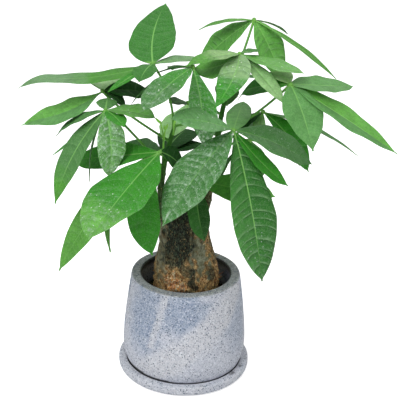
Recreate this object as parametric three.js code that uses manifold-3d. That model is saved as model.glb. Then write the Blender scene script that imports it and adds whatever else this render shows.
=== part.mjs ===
// A potted money tree: a swollen stump with two thin stems and palmate leaves,
// in a thick stone-look pot that stands in its saucer. Millimetres, +Z up.
// The origin is the centre of the saucer's flat underside, and the front is towards -Y.
import * as THREE from 'three';
import { mergeVertices } from 'three/addons/utils/BufferGeometryUtils.js';
import Module from 'manifold-3d';

const wasm = await Module();
wasm.setup();

// Driving dimensions of the ware
const clearance = 0.3;
const wareSides = 40;
const saucerRadius = 70;
const saucerRimWidth = 8.2;
const saucerHeight = 12.4;
const saucerFloor = 5;
const saucerFootRadius = 58;
const saucerBulgeHeight = 8;
const saucerSquareness = 2.6;
const saucerOuterRounding = 2;
const saucerInnerRounding = 1;
const saucerDraft = 1;
const potBellyRadius = 65;
const potBellyHeight = 38;
const potRimRadius = 56.8;
const potTop = 111.4;
const potWall = 10;
const potFootRadius = 50;
const potFloorThickness = 9;
const potRimRounding = 1.8;
const potLeanPower = 1.35;
const potFootSquareness = 2.45;
const potInnerFootRadius = 47;

// Driving dimensions of the plant
const soilHeight = 82;
const soilMound = 4;
const soilMoundReach = 44;
const trunkFoot = 46;
const trunkFootRadius = 17;
const trunkSides = 22;
const soilSides = 40;
const barkRidges = [
  { count: 3, drift: 0.35, phase: 0, share: 0.025 },
  { count: 5, drift: -0.8, phase: 1, share: 0.015 },
];
const stemSides = 8;
const stemSteps = 9;
const leafStalkRadius = 1.5;
const leafStalkSides = 6;
const leafStalkSteps = 6;
const leafStalkFlare = 1.4;
const hubRadius = 2.6;
const bladeThickness = 0.9;
const bladeFoldDegrees = 9;
const bladeWidestAt = 0.58;
const bladeTaper = 2.02;
const manyStations = [0, 0.12, 0.3, 0.5, 0.7, 0.88, 1];
const fewStations = [0, 0.17, 0.4, 0.65, 0.87, 1];
const narrowBlade = 27;
const dripStart = 0.75;
const bladeStalkWidth = 2.6;
const bladeTipWidth = 0.8;

// The viewpoint that the leaves were measured from: a square picture, seen from the front and a little above
const viewDistance = 1000;
const viewPitchDegrees = 23;
const viewRollDegrees = 1.95;
const viewFocalPixels = 983;
const viewCentrePixel = 200;
const viewTarget = new THREE.Vector3(12.25, 0, 192.8);

// A place given as [pixel across, pixel down, millimetres in front of the trunk's axis]
function seen([across, down, near]) {
  const pitch = THREE.MathUtils.degToRad(viewPitchDegrees);
  const roll = THREE.MathUtils.degToRad(viewRollDegrees);
  const forward = new THREE.Vector3(0, Math.cos(pitch), -Math.sin(pitch));
  const level = new THREE.Vector3(1, 0, 0);
  const upright = new THREE.Vector3(0, Math.sin(pitch), Math.cos(pitch));
  const right = level.clone().multiplyScalar(Math.cos(roll)).addScaledVector(upright, Math.sin(roll));
  const up = upright.clone().multiplyScalar(Math.cos(roll)).addScaledVector(level, -Math.sin(roll));
  const eye = viewTarget.clone().addScaledVector(forward, -viewDistance);
  const ray = forward.clone().multiplyScalar(viewFocalPixels);
  ray.addScaledVector(right, across - viewCentrePixel);
  ray.addScaledVector(up, viewCentrePixel - down);
  return eye.addScaledVector(ray, (-near - eye.y) / ray.y);
}

// The stems' routes, from inside the trunk to the growing tip, with the radius at both ends
const stems = {
  left: {
    route: [[172, 232, 2], [163, 214, 4], [161, 190, 5], [164, 165, 6], [170, 142, 8], [175, 124, 10]],
    radii: [4.6, 1.8],
  },
  right: {
    route: [[200, 222, -3], [206, 206, -4], [211, 180, -6], [216, 150, -6], [222, 112, -5], [229, 88, -3]],
    radii: [4.4, 1.9],
  },
};

// Every palmate leaf: the stem that carries it and how far up, the point its stalk bends towards, its hub,
// and its leaflets. A leaflet has its tip and its width in mm. Where they matter, arch is how far its middle
// rises, bend how far its middle swings to its right and drip how far its end hangs, in mm; turn faces it to
// the front and fold is how far its halves stand up, in degrees; widest is where it is widest, as a share of
// its length, lean how much further up that is on its right half and lower on its left, taper how slender its
// tip is, and foot how slender its lower end is.
const leaves = {
  leaf_a: { stem: 'left', at: 0.93, by: [176, 98, 0], hub: [153, 64, 0], leaflets: [
    { tip: [166, 3.5, -80], width: 46, bend: -6, fold: 2, widest: 0.35, taper: 1.2, foot: 2.6, lean: 0.04 },
    { tip: [200, 58, -25], width: 24, arch: 1 },
    { tip: [17.2, 89, 20], width: 39, arch: -9, drip: 15, fold: 3, widest: 0.38, taper: 0.75, foot: 3.5 },
    { tip: [108, 92, 45], width: 12, arch: 1 },
    { tip: [139, 82, 30], width: 24, arch: 3 },
  ] },
  leaf_b: { stem: 'left', at: 0.84, by: [118, 110, 0], hub: [102.5, 91, 8], leaflets: [
    { tip: [21.2, 125.5, 25], width: 54, arch: -6.5, drip: 4, fold: 6, turn: 3,
      widest: 0.5, taper: 1.6, foot: 3 },
    { tip: [104, 73, -60], width: 44, arch: 2 },
    { tip: [125, 108, 12], width: 24, arch: 3 },
    { tip: [151, 93, -10], width: 34, arch: 2, turn: 15 },
  ] },
  leaf_c: { stem: 'left', at: 0.6, by: [113, 109, 30], hub: [105.5, 110.5, 40], leaflets: [
    { tip: [107.5, 98, 24], width: 20, arch: 1, fold: 2 },
    { tip: [56, 136.3, 40], width: 28, arch: 3, drip: 3 },
    { tip: [52.8, 155, 35], width: 24, arch: -2 },
    { tip: [55, 204, 70], width: 30, arch: 8, turn: 12, widest: 0.52 },
    { tip: [89.5, 182, 42], width: 13, arch: 4, bend: 5, drip: 2 },
    { tip: [109, 177, 44], width: 33, arch: 6, widest: 0.5, taper: 1.7 },
    { tip: [155.5, 118.3, 50], width: 38, arch: 3 },
    { tip: [124, 127, 75], width: 18, arch: 2 },
  ] },
  leaf_d: { stem: 'left', at: 0.72, by: [163, 146, 35], hub: [160, 152, 50], leaflets: [
    { tip: [88, 240, 112], width: 71, arch: 1, bend: 2, widest: 0.52, taper: 1.8, foot: 2.6, lean: 0.08 },
    { tip: [59, 271, 62], width: 31, arch: 9, bend: 5, turn: 45 },
    { tip: [110.5, 252.5, 85], width: 12, arch: 4, bend: 30 },
    { tip: [152.5, 255.5, 62], width: 33, arch: 4, bend: 11, turn: 15, widest: 0.64, taper: 2.5 },
    { tip: [184, 171, 32], width: 30, arch: 3, turn: 45 },
    { tip: [72, 160, -8], width: 34, arch: 0, turn: 35 },
  ] },
  leaf_e: { stem: 'left', at: 0.98, by: [203, 119, 28], hub: [233.5, 130, 45], leaflets: [
    { tip: [162.5, 226.5, 100], width: 58, arch: 5, bend: -1, widest: 0.53 },
    { tip: [262, 281.5, 95], width: 49, arch: 7, bend: 1 },
    { tip: [312, 164.5, 40], width: 50, arch: 5, turn: 14 },
    { tip: [243.5, 101.5, -24], width: 24, arch: 1, fold: -3, widest: 0.52, taper: 1.3 },
    { tip: [171, 119, 65], width: 38, arch: 3, turn: 16 },
    { tip: [288, 186, 55], width: 25, arch: -2, turn: 15, bend: 2 },
  ] },
  leaf_f: { stem: 'right', at: 0.55, by: [245, 128, -4], hub: [263, 112, -4], leaflets: [
    { tip: [308.5, 172.5, 5], width: 37, arch: 6, turn: 20 },
    { tip: [257, 138, 6], width: 14, arch: 2 },
    { tip: [238, 131, 4], width: 22, arch: 2 },
    { tip: [358, 156, -25], width: 24, arch: 6 },
  ] },
  leaf_g: { stem: 'right', at: 0.68, by: [245, 127, 3], hub: [290.5, 84.5, 30], leaflets: [
    { tip: [313, 151.5, 75], width: 41, arch: 4, widest: 0.46 },
    { tip: [397.8, 154.5, 45], width: 44, arch: 1.5, turn: 8, widest: 0.5 },
    { tip: [353, 86.5, 5], width: 36, arch: 0, turn: 10, widest: 0.5, taper: 1.5 },
    { tip: [270, 72, 0], width: 28, arch: 2 },
    { tip: [237.5, 100.5, 0], width: 34, arch: 2, drip: 9, widest: 0.55, turn: 22 },
  ] },
  leaf_h: { stem: 'right', at: 0.97, by: [241, 62, -4], hub: [254, 20, -20], leaflets: [
    { tip: [198.7, 30, -15], width: 14, arch: 3, drip: 1 },
    { tip: [200, 65, -20], width: 36, arch: 3, turn: 25, bend: 0.5 },
    { tip: [281, 80, -16], width: 33, arch: 3, turn: 45, widest: 0.49, bend: 1.5 },
    { tip: [336, 79, -8], width: 14, arch: 4, turn: 8 },
    { tip: [287.5, 34, -60], width: 10, arch: 3 },
  ] },
  leaf_i: { stem: 'right', at: 0.87, by: [238, 70, 4], hub: [239.5, 54, 15], leaflets: [
    { tip: [185.3, 66.5, 35], width: 33, arch: 3, widest: 0.46 },
    { tip: [213.7, 109.5, 72], width: 30, arch: 3, bend: -6, widest: 0.42 },
    { tip: [283, 103, 50], width: 25, arch: 2 },
    { tip: [304, 73.3, 28], width: 38, arch: -1 },
    { tip: [260, 50.5, 4], width: 14, arch: 1 },
    { tip: [192, 69, 5], width: 38, arch: -5, widest: 0.5, turn: 25 },
  ] },
  leaf_j: { stem: 'right', at: 0.8, by: [200, 100, 10], hub: [193, 67, 30], leaflets: [
    { tip: [143.5, 110.5, 75], width: 36, arch: 3, taper: 1.6 },
    { tip: [203, 146, 10], width: 33, arch: 2, bend: 3 },
    { tip: [157, 73, 10], width: 12, arch: 2 },
    { tip: [131.4, 104, 22], width: 22, arch: 3, drip: 4 },
    { tip: [172, 70, -50], width: 24, arch: 2 },
  ] },
  leaf_l: { stem: 'right', at: 0.75, by: [200, 115, -15], hub: [188, 103, -20], leaflets: [
    { tip: [163, 142, -60], width: 44, arch: 4, bend: 9 },
    { tip: [169, 103, -12], width: 28, arch: 1 },
    { tip: [205, 140, -80], width: 32, arch: 6 },
    { tip: [217, 138, -62], width: 22, arch: 2 },
  ] },
  leaf_m: { stem: 'right', at: 0.3, by: [205, 178, 10], hub: [196, 180, 25], leaflets: [
    { tip: [204.5, 241, 45], width: 24, arch: 3, bend: 4 },
    { tip: [275, 196.7, 55], width: 31, arch: 0, turn: 40 },
    { tip: [182, 207, 55], width: 20, arch: 3 },
    { tip: [186, 160, -25], width: 28, arch: 3 },
  ] },
  leaf_n: { stem: 'left', at: 0.5, by: [163, 158, -20], hub: [163, 155, -50], leaflets: [
    { tip: [120, 146, -70], width: 40, arch: 5 },
    { tip: [142, 152, -125], width: 36, arch: 5 },
    { tip: [188, 129, -140], width: 42, arch: 4 },
    { tip: [105, 168, -50], width: 32, arch: 5 },
    { tip: [205, 144, -108], width: 40, arch: 4 },
  ] },
  leaf_o: { stem: 'right', at: 0.5, by: [235, 138, -20], hub: [250, 140, -50], leaflets: [
    { tip: [300, 166, -60], width: 34, arch: 5 },
    { tip: [278, 136, -120], width: 36, arch: 5 },
    { tip: [240, 122, -135], width: 36, arch: 5 },
    { tip: [222, 177, -60], width: 34, arch: 4 },
    { tip: [254, 184, -95], width: 32, arch: 5 },
  ] },
  leaf_p: { stem: 'right', at: 0.25, by: [208, 180, -25], hub: [208, 182, -50], leaflets: [
    { tip: [180, 196, -95], width: 34, arch: 4 },
    { tip: [238, 185, -118], width: 36, arch: 4 },
    { tip: [205, 166, -135], width: 34, arch: 4 },
    { tip: [246, 208, -62], width: 32, arch: 4 },
  ] },
  leaf_q: { stem: 'right', at: 0.9, by: [226, 80, -30], hub: [226, 78, -55], leaflets: [
    { tip: [207, 66, -95], width: 24, arch: 2 },
    { tip: [232, 70, -125], width: 34, arch: 2 },
    { tip: [262, 78, -105], width: 32, arch: 2 },
    { tip: [227, 106, -85], width: 26, arch: 4 },
  ] },
};

// Materials
const ware = new THREE.MeshStandardMaterial({ color: 0xb4bac6, roughness: 0.6, metalness: 0 });
const earth = new THREE.MeshStandardMaterial({ color: 0x2c211a, roughness: 0.95, metalness: 0 });
const bark = new THREE.MeshStandardMaterial({ color: 0x6b5638, roughness: 0.85, metalness: 0 });
const green = new THREE.MeshStandardMaterial({ color: 0x4f9646, roughness: 0.45, metalness: 0 });

// Helpers for closed solids
function toSolid(geometry) {
  const bare = geometry.clone();
  bare.deleteAttribute('normal');
  bare.deleteAttribute('uv');
  const merged = mergeVertices(bare, 1e-4);
  return new wasm.Manifold(new wasm.Mesh({
    numProp: 3,
    vertProperties: new Float32Array(merged.attributes.position.array),
    triVerts: new Uint32Array(merged.index.array),
  }));
}

function toGeometry(solid) {
  const mesh = solid.getMesh();
  const geometry = new THREE.BufferGeometry();
  geometry.setAttribute('position', new THREE.BufferAttribute(new Float32Array(mesh.vertProperties), 3));
  geometry.setIndex(new THREE.BufferAttribute(new Uint32Array(mesh.triVerts), 1));
  geometry.computeVertexNormals();
  return geometry;
}

function named(name, geometry, material) {
  const mesh = new THREE.Mesh(geometry, material.clone());
  mesh.name = name;
  return mesh;
}

// A closed skin over a row of rings, each a list of as many points, with both ends capped from their first
// point. From the ring's point flippedFrom on, the faces are split along the other diagonal.
function loft(rings, flippedFrom = Infinity) {
  const around = rings[0].length;
  const index = [];
  const last = (rings.length - 1) * around;
  for (let i = 0; i < rings.length - 1; i += 1) {
    for (let j = 0; j < around; j += 1) {
      const a = i * around + j;
      const b = i * around + (j + 1) % around;
      const c = b + around;
      const d = a + around;
      if (j < flippedFrom) {
        index.push(a, b, c, a, c, d);
      } else {
        index.push(a, b, d, b, c, d);
      }
    }
  }
  for (let j = 1; j < around - 1; j += 1) {
    index.push(0, j + 1, j);
    index.push(last, last + j, last + j + 1);
  }
  const geometry = new THREE.BufferGeometry();
  const points = rings.flat().flatMap((point) => [point.x, point.y, point.z]);
  geometry.setAttribute('position', new THREE.BufferAttribute(new Float32Array(points), 3));
  geometry.setIndex(index);
  geometry.computeVertexNormals();
  return geometry;
}

// A solid turned about the Z axis from [radius, height] points that go round its section anticlockwise
function turned(section, sides) {
  const points = section.map(([radius, height]) => new THREE.Vector2(radius, height));
  const geometry = new THREE.LatheGeometry(points, sides);
  geometry.rotateX(Math.PI / 2);
  return geometry;
}

// A round bar along a curve, with a radius for each of its rings
function bar(curve, radii, sides) {
  const steps = radii.length - 1;
  const frames = curve.computeFrenetFrames(steps, false);
  const rings = radii.map((radius, i) => {
    const centre = curve.getPointAt(i / steps);
    return Array.from({ length: sides }, (_, j) => {
      const angle = (2 * Math.PI * j) / sides;
      return centre.clone()
        .addScaledVector(frames.normals[i], radius * Math.cos(angle))
        .addScaledVector(frames.binormals[i], radius * Math.sin(angle));
    });
  });
  return loft(rings);
}

// Points of a rounded corner in a section, about [radius, height], from one angle to another in degrees.
// A squareness above 2 fills the corner out more than an ellipse does.
function corner([radius, height], [reach, rise], from, to, steps, squareness = 2) {
  return Array.from({ length: steps + 1 }, (_, i) => {
    const angle = THREE.MathUtils.degToRad(from + ((to - from) * i) / steps);
    const across = Math.sign(Math.cos(angle)) * Math.abs(Math.cos(angle)) ** (2 / squareness);
    const along = Math.sign(Math.sin(angle)) * Math.abs(Math.sin(angle)) ** (2 / squareness);
    return [radius + reach * across, height + rise * along];
  });
}

// Saucer: a shallow dish with a flat rim, rounded outside, that stands on its flat foot
function makeSaucer() {
  const inner = saucerRadius - saucerRimWidth;
  const bulge = [saucerRadius - saucerFootRadius, saucerBulgeHeight];
  const outerCentre = [saucerRadius - saucerOuterRounding, saucerHeight - saucerOuterRounding];
  const innerCentre = [inner + saucerInnerRounding, saucerHeight - saucerInnerRounding];
  const section = [
    [0, 0],
    ...corner([saucerFootRadius, saucerBulgeHeight], bulge, -90, 0, 4, saucerSquareness),
    ...corner(outerCentre, [saucerOuterRounding, saucerOuterRounding], 0, 90, 2),
    ...corner(innerCentre, [saucerInnerRounding, saucerInnerRounding], 90, 180, 2),
    [inner - saucerDraft, saucerFloor],
    [0, saucerFloor],
  ];
  return turned(section, wareSides);
}

// Pot: a rounded foot, a belly low down, walls that lean in to a flat rim, and a hollow inside
const potBase = saucerFloor + clearance;
const potFloor = potBase + potFloorThickness;
const potWallHeights = [56, 70, soilHeight, 96];

function potOuterRadius(height) {
  const rise = (height - potBellyHeight) / (potTop - potBellyHeight);
  return potBellyRadius + (potRimRadius - potBellyRadius) * Math.max(rise, 0) ** potLeanPower;
}

function makePot() {
  const round = [potRimRounding, potRimRounding];
  const rimHeight = potTop - potRimRounding;
  const foot = [potBellyRadius - potFootRadius, potBellyHeight - potBase];
  const section = [
    [0, potBase],
    ...corner([potFootRadius, potBellyHeight], foot, -90, 0, 6, potFootSquareness),
    ...potWallHeights.map((height) => [potOuterRadius(height), height]),
    ...corner([potRimRadius - potRimRounding, rimHeight], round, 0, 90, 3),
    ...corner([potRimRadius - potWall + potRimRounding, rimHeight], round, 90, 180, 2),
    ...potWallHeights.toReversed().map((height) => [potOuterRadius(height) - potWall, height]),
    [potBellyRadius - potWall, potBellyHeight],
    [potInnerFootRadius, potFloor],
    [0, potFloor],
  ];
  return turned(section, wareSides);
}

// Trunk: rings of [height, across, radius], swollen at the soil and narrow where the stems leave it
const trunkRings = [
  [trunkFoot, 0, trunkFootRadius],
  [60, 0, 27],
  [soilHeight + soilMound, 0, 33.6],
  [96, 0.4, 33.8],
  [106, 0.3, 33.6],
  [120, -0.8, 32.4],
  [132, -1.6, 30],
  [144, -2, 27],
  [156, -3.4, 26],
  [168, -4.2, 24.8],
  [178, -3.6, 22.8],
  [186, -0.8, 16.6],
  [191, -0.6, 9],
];
const buriedRings = 3;

// Bark relief: slow ridges round the trunk that drift with height, none where it stands in the soil
function barkRadius(radius, ring, angle) {
  if (ring < buriedRings) return radius;
  const waves = barkRidges.map(({ count, drift, phase, share }) => (
    share * Math.sin(count * angle + drift * ring + phase)
  ));
  return radius * (1 + waves.reduce((sum, wave) => sum + wave, 0));
}

function makeStump() {
  const rings = trunkRings.map(([height, across, radius], ring) => (
    Array.from({ length: trunkSides }, (_, j) => {
      const angle = (2 * Math.PI * j) / trunkSides;
      const reach = barkRadius(radius, ring, angle);
      return new THREE.Vector3(across + reach * Math.cos(angle), reach * Math.sin(angle), height);
    })
  ));
  return loft(rings);
}

function stemCurve({ route }) {
  return new THREE.CatmullRomCurve3(route.map(seen));
}

function makeStem(stem, extra) {
  const [foot, top] = stem.radii;
  const radii = Array.from({ length: stemSteps + 1 }, (_, i) => foot + (top - foot) * (i / stemSteps) + extra);
  return bar(stemCurve(stem), radii, stemSides);
}

function makeTrunk() {
  let solid = toSolid(makeStump());
  for (const stem of Object.values(stems)) {
    solid = solid.add(toSolid(makeStem(stem, 0)));
  }
  return toGeometry(solid);
}

// Soil: a low mound that fills the pot, with a plain blind hole for the trunk's foot
function makeSoil() {
  const beside = (height) => potOuterRadius(height) - potWall - clearance;
  const around = (radius) => (radius + clearance) / Math.cos(Math.PI / soilSides);
  const hole = trunkRings.slice(0, buriedRings).reverse().map(([height, , radius]) => [around(radius), height]);
  const section = [
    [0, potFloor + clearance],
    [potInnerFootRadius - clearance, potFloor + clearance],
    [potBellyRadius - potWall - clearance, potBellyHeight],
    ...potWallHeights.filter((height) => height <= soilHeight).map((height) => [beside(height), height]),
    [soilMoundReach, soilHeight + soilMound / 2],
    ...hole.slice(0, -1),
    [around(trunkFootRadius), trunkFoot - clearance],
    [0, trunkFoot - clearance],
  ];
  return turned(section, soilSides);
}

// Half width of a leaflet, as a share of its widest, at a share of its length. More taper makes its tip more
// slender, and more foot its lower end.
function bladeHalf(along, widest, taper, foot) {
  const power = along < widest ? foot : taper;
  const rise = (along / widest) ** (power * widest);
  const fall = ((1 - along) / (1 - widest)) ** (power * (1 - widest));
  return rise * fall;
}

// Leaflet: a thin blade, folded a little along an arched midrib, from the hub to its tip
function makeLeaflet(hub, leaflet) {
  const { tip, width, arch = 0, bend = 0, drip = 0, turn = 0 } = leaflet;
  const { fold = bladeFoldDegrees, widest = bladeWidestAt, lean = 0, taper = bladeTaper } = leaflet;
  const { foot = taper } = leaflet;
  const sky = new THREE.Vector3(0, 0, 1);
  const front = new THREE.Vector3(0, -1, 0);
  const end = seen(tip).addScaledVector(sky, drip);
  const chord = end.clone().sub(hub).normalize();
  const lift = sky.clone().addScaledVector(chord, -sky.dot(chord)).normalize();
  const swing = chord.clone().cross(lift);
  const middle = hub.clone().add(end).multiplyScalar(0.5)
    .addScaledVector(lift, 2 * arch).addScaledVector(swing, 2 * bend);
  const midrib = new THREE.QuadraticBezierCurve3(hub, middle, end);
  const facing = THREE.MathUtils.degToRad(turn) * Math.sign(swing.dot(front));
  const face = lift.clone().applyAxisAngle(chord, facing);
  const raise = THREE.MathUtils.degToRad(fold);
  const stations = width < narrowBlade ? fewStations : manyStations;
  const rings = stations.map((along) => {
    const hang = Math.max((along - dripStart) / (1 - dripStart), 0) ** 2;
    const centre = midrib.getPoint(along).addScaledVector(sky, -drip * hang);
    const forward = midrib.getTangent(along);
    const normal = face.clone().addScaledVector(forward, -face.dot(forward)).normalize();
    const side = forward.clone().cross(normal);
    const least = (along < 0.5 ? bladeStalkWidth : bladeTipWidth) / 2;
    const [left, right] = [widest - lean, widest + lean].map((place) => (
      Math.max((width / 2) * bladeHalf(along, place, taper, foot), least)
    ));
    const top = [-left, 0, right].map((across) => (
      centre.clone().addScaledVector(side, across * Math.cos(raise))
        .addScaledVector(normal, Math.abs(across) * Math.sin(raise) + bladeThickness / 2)
    ));
    const under = top.map((point) => point.clone().addScaledVector(normal, -bladeThickness));
    return [...top, ...under.reverse()];
  });
  return loft(rings, 3);
}

// Palmate leaf: a stalk that arches from its stem to the hub, and the leaflets that spread from there
function makeLeaf({ stem, at, by, hub, leaflets }) {
  const root = stemCurve(stems[stem]).getPointAt(at);
  const centre = seen(hub);
  const stalk = new THREE.QuadraticBezierCurve3(root, seen(by), centre);
  const radii = Array.from({ length: leafStalkSteps + 1 }, () => leafStalkRadius);
  radii[0] = leafStalkRadius * leafStalkFlare;
  radii[leafStalkSteps] = hubRadius;
  let solid = toSolid(bar(stalk, radii, leafStalkSides));
  solid = solid.subtract(toSolid(makeStem(stems[stem], clearance)));
  for (const leaflet of leaflets) {
    solid = solid.add(toSolid(makeLeaflet(centre, leaflet)));
  }
  return toGeometry(solid);
}

const plant = new THREE.Group();
plant.add(named('saucer', makeSaucer(), ware));
plant.add(named('pot', makePot(), ware));
plant.add(named('soil', makeSoil(), earth));
plant.add(named('trunk', makeTrunk(), bark));
for (const [name, leaf] of Object.entries(leaves)) {
  plant.add(named(name, makeLeaf(leaf), green));
}

export default plant;
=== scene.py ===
import math

import bpy
import numpy as np
from mathutils import Matrix


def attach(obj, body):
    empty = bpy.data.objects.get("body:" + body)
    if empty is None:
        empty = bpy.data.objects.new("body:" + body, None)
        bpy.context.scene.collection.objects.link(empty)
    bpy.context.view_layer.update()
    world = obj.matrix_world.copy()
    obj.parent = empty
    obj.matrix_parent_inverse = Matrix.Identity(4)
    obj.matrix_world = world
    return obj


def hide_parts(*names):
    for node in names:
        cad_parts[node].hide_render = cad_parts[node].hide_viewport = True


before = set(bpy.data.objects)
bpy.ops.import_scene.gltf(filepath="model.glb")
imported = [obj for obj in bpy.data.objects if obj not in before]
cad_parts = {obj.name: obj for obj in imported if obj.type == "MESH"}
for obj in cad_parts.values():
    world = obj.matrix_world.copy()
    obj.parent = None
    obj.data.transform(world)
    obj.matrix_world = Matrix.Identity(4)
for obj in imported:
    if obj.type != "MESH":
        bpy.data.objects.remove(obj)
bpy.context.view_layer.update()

# Sizes are written in millimetres and times MM, so that they read as on the real thing
MM = 0.001
SKY = np.array([0.0, 0.0, 1.0])
FRONT = np.array([0.0, -1.0, 0.0])

# The ware, as the frame has it
CLEARANCE = 0.3 * MM
SAUCER_RADIUS = 70 * MM
SAUCER_RIM_WIDTH = 8.2 * MM
SAUCER_HEIGHT = 12.4 * MM
SAUCER_FLOOR = 5 * MM
SAUCER_FOOT_RADIUS = 58 * MM
SAUCER_BULGE_HEIGHT = 8 * MM
SAUCER_SQUARENESS = 2.6
SAUCER_OUTER_ROUNDING = 2 * MM
SAUCER_INNER_ROUNDING = 1 * MM
SAUCER_DRAFT = 1 * MM
POT_BELLY_RADIUS = 65 * MM
POT_BELLY_HEIGHT = 38 * MM
POT_RIM_RADIUS = 56.8 * MM
POT_TOP = 111.4 * MM
POT_WALL = 10 * MM
POT_FOOT_RADIUS = 50 * MM
POT_BASE = SAUCER_FLOOR + CLEARANCE
POT_FLOOR = POT_BASE + 9 * MM
POT_RIM_ROUNDING = 1.8 * MM
POT_LEAN_POWER = 1.35
POT_FOOT_SQUARENESS = 2.45
POT_INNER_FOOT_RADIUS = 47 * MM
SOIL_HEIGHT = 82 * MM
SOIL_MOUND = 4 * MM

# How fine the pieces are: points round each, rows along the trunk and the blades, more of them where a blade
# is longer than LONG_BLADE, and the longest step of a turned section. POLE is the radius of the small ring
# that such a section starts and ends with, which a flat fan closes.
WARE_SIDES = 180
WARE_STEP = 3 * MM
POLE = 4 * MM
TRUNK_SIDES = 340
TRUNK_ROWS = 250
STEM_SIDES = 26
STALK_SIDES = 14
SHOOT_SIDES = 12
BLADE_SIDES = 48
BLADE_ROWS = 56
LONG_BLADE_ROWS = 84
LONG_BLADE = 55 * MM

# Random waves, by their height and their length: on the pot, on the soil and in the bark, which is also worn
# away by WORN_DEPTH where it is smooth
POT_LUMPS = (0.08 * MM, 22 * MM)
SOIL_LUMPS = ((0.9 * MM, 9 * MM), (0.7 * MM, 3.5 * MM), (0.35 * MM, 1.6 * MM))
FISSURES = (0.9 * MM, 4.2 * MM)
FINE_GRAIN = (0.28 * MM, 2.2 * MM)
COARSE_GRAIN = (0.35 * MM, 9 * MM)
FINE_FIBRES = (0.6 * MM, 2.6 * MM)
COARSE_FIBRES = (0.8 * MM, 6 * MM)
WORN_DEPTH = 0.5 * MM

# Small pieces: how many there are, and from what to what they measure. The crumbs lie on a ring of the soil.
# A large scale has its turn in degrees, its height on the trunk and its length in mm.
CRUMB_COUNT = 170
CRUMB_SIZES = (0.7 * MM, 2.2 * MM)
CRUMB_RING = (36 * MM, 45 * MM)
SCALE_COUNT = 46
SCALE_ROWS = 9
SCALE_SIDES = 10
SCALE_LENGTHS = (2.5 * MM, 6 * MM)
SCALE_WIDTHS = (1.2 * MM, 2.6 * MM)
LARGE_SCALES = ((-4, 114, 9), (-8, 106, 8), (-2, 100, 7), (-3, 128, 7), (-14, 98, 8))
LARGE_SCALE_WIDTH = 3 * MM
BUD_LENGTHS = (5 * MM, 9 * MM)
BUD_THICKNESS = 1.2 * MM

# The light: lamps by place and width in metres and power in watts, how bright the sky is low and overhead,
# how much the floor glows to the eye and how far it reaches
LAMPS = {
    "key": ((-0.7, -1.1, 1.5), 0.9, 20),
    "fill": ((1.2, -0.9, 0.8), 1.0, 3.8),
    "back": ((0.3, 1.2, 1.2), 0.9, 3.8),
}
LAMP_TARGET = np.array([0, 0, 0.2])
SKY_LOW = 0.2
SKY_HIGH = 0.66
FLOOR_GLOW = 0.65
FLOOR_REACH = 6.0

# The viewpoint: 1 m from the target, looking down a little, with the picture turned by the roll
VIEW_DISTANCE = 1.0
VIEW_PITCH = math.radians(23)
VIEW_ROLL = math.radians(1.95)
VIEW_FOCAL_PIXELS = 983
VIEW_PIXELS = 400
VIEW_TARGET = np.array([12.25, 0, 192.8]) * MM
SENSOR_WIDTH = 36

# The trunk's rings, as the frame has them: height, centre across and radius
TRUNK_RINGS = np.array([
    [46, 0, 17], [60, 0, 27], [86, 0, 33.6], [96, 0.4, 33.8], [106, 0.3, 33.6], [120, -0.8, 32.4],
    [132, -1.6, 30], [144, -2, 27], [156, -3.4, 26], [168, -4.2, 24.8], [178, -3.6, 22.8],
    [186, -0.8, 16.6], [191, -0.6, 9],
]) * MM

# The stems. A place is [pixel across, pixel down, mm in front of the trunk's axis], here and in what follows.
# The radii are those of the foot and the top. greening is the share of the way up where a stem turns green
# and how green it is below, and the last value is how dark its bark is: charred, and painted shade, most on
# the left stem, which lies in shade.
STEMS = {
    "left": {
        "route": [[172, 232, 2], [163, 214, 4], [161, 190, 5], [164, 165, 6], [170, 142, 8], [175, 124, 10]],
        "radii": [4.6 * MM, 1.8 * MM], "greening": (0.42, 0.3), "char_and_shade": 0.9,
    },
    "right": {
        "route": [[200, 222, -3], [206, 206, -4], [211, 180, -6], [216, 150, -6], [222, 112, -5],
                  [229, 88, -3]],
        "radii": [4.4 * MM, 1.9 * MM], "greening": (0.4, 0.1), "char_and_shade": 0.5,
    },
}

# Both stems swell at the joints, which are shares of the way up: by this share of the radius and within this
# share of the length
STEM_JOINTS = (0.18, 0.3, 0.42, 0.55, 0.68, 0.8, 0.9)
JOINT_SWELL = 0.16
JOINT_REACH = 0.011

# Young shoots: the places each one passes, its radius in mm and how many small leaflets stand on its end.
# SHOOT_LIT is how much they glow, a painted glow for the light that comes through them.
SHOOTS = (
    ([[170, 142, 8], [173.4, 132, 10], [174.6, 122.5, 11], [177.8, 117.3, 12]], 1.6, 3),
    ([[165.5, 158, 7], [163.4, 148.9, 10], [163.8, 140, 12], [165.2, 129.6, 13]], 1.1, 2),
    ([[163.6, 142, 12], [163, 134, 13], [161, 124, 14]], 0.9, 2),
    ([[226, 98, -4], [229, 88, -3], [231, 82, -2]], 1.3, 3),
)
SHOOT_LIT = 0.15

# Stalks, hubs and blades. A blade's end hangs from DRIP_START of its length on, and a side vein leaves its
# midrib about every VEIN_GAP.
STALK_RADIUS = 1.15 * MM
HUB_RADIUS = 2.5 * MM
BLADE_THICKNESS = 0.55 * MM
DRIP_START = 0.75
VEIN_GAP = 9.2 * MM

# The greens of leaves, as sRGB from 0 to 255. Some of them paint light and shade: shade, deep and forest
# are darker greens for leaflets that lie in shade, and dew and frost are lighter ones, painted light on
# leaflets that show sheen and light shining through them.
TONES = {
    "mid": (62, 132, 50), "fresh": (56, 152, 30), "light": (98, 168, 66), "grey": (84, 138, 74),
    "deep": (34, 92, 26), "forest": (38, 108, 28), "shade": (20, 70, 17), "bright": (118, 192, 84),
    "ash": (108, 170, 96), "pale": (160, 200, 134), "mist": (124, 184, 112), "silver": (126, 172, 118),
    "lush": (82, 158, 50), "spring": (112, 192, 66), "dew": (176, 226, 150), "frost": (208, 255, 184),
    "stalk": (110, 178, 72), "hub": (132, 194, 88), "bud": (184, 255, 104),
}
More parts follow.
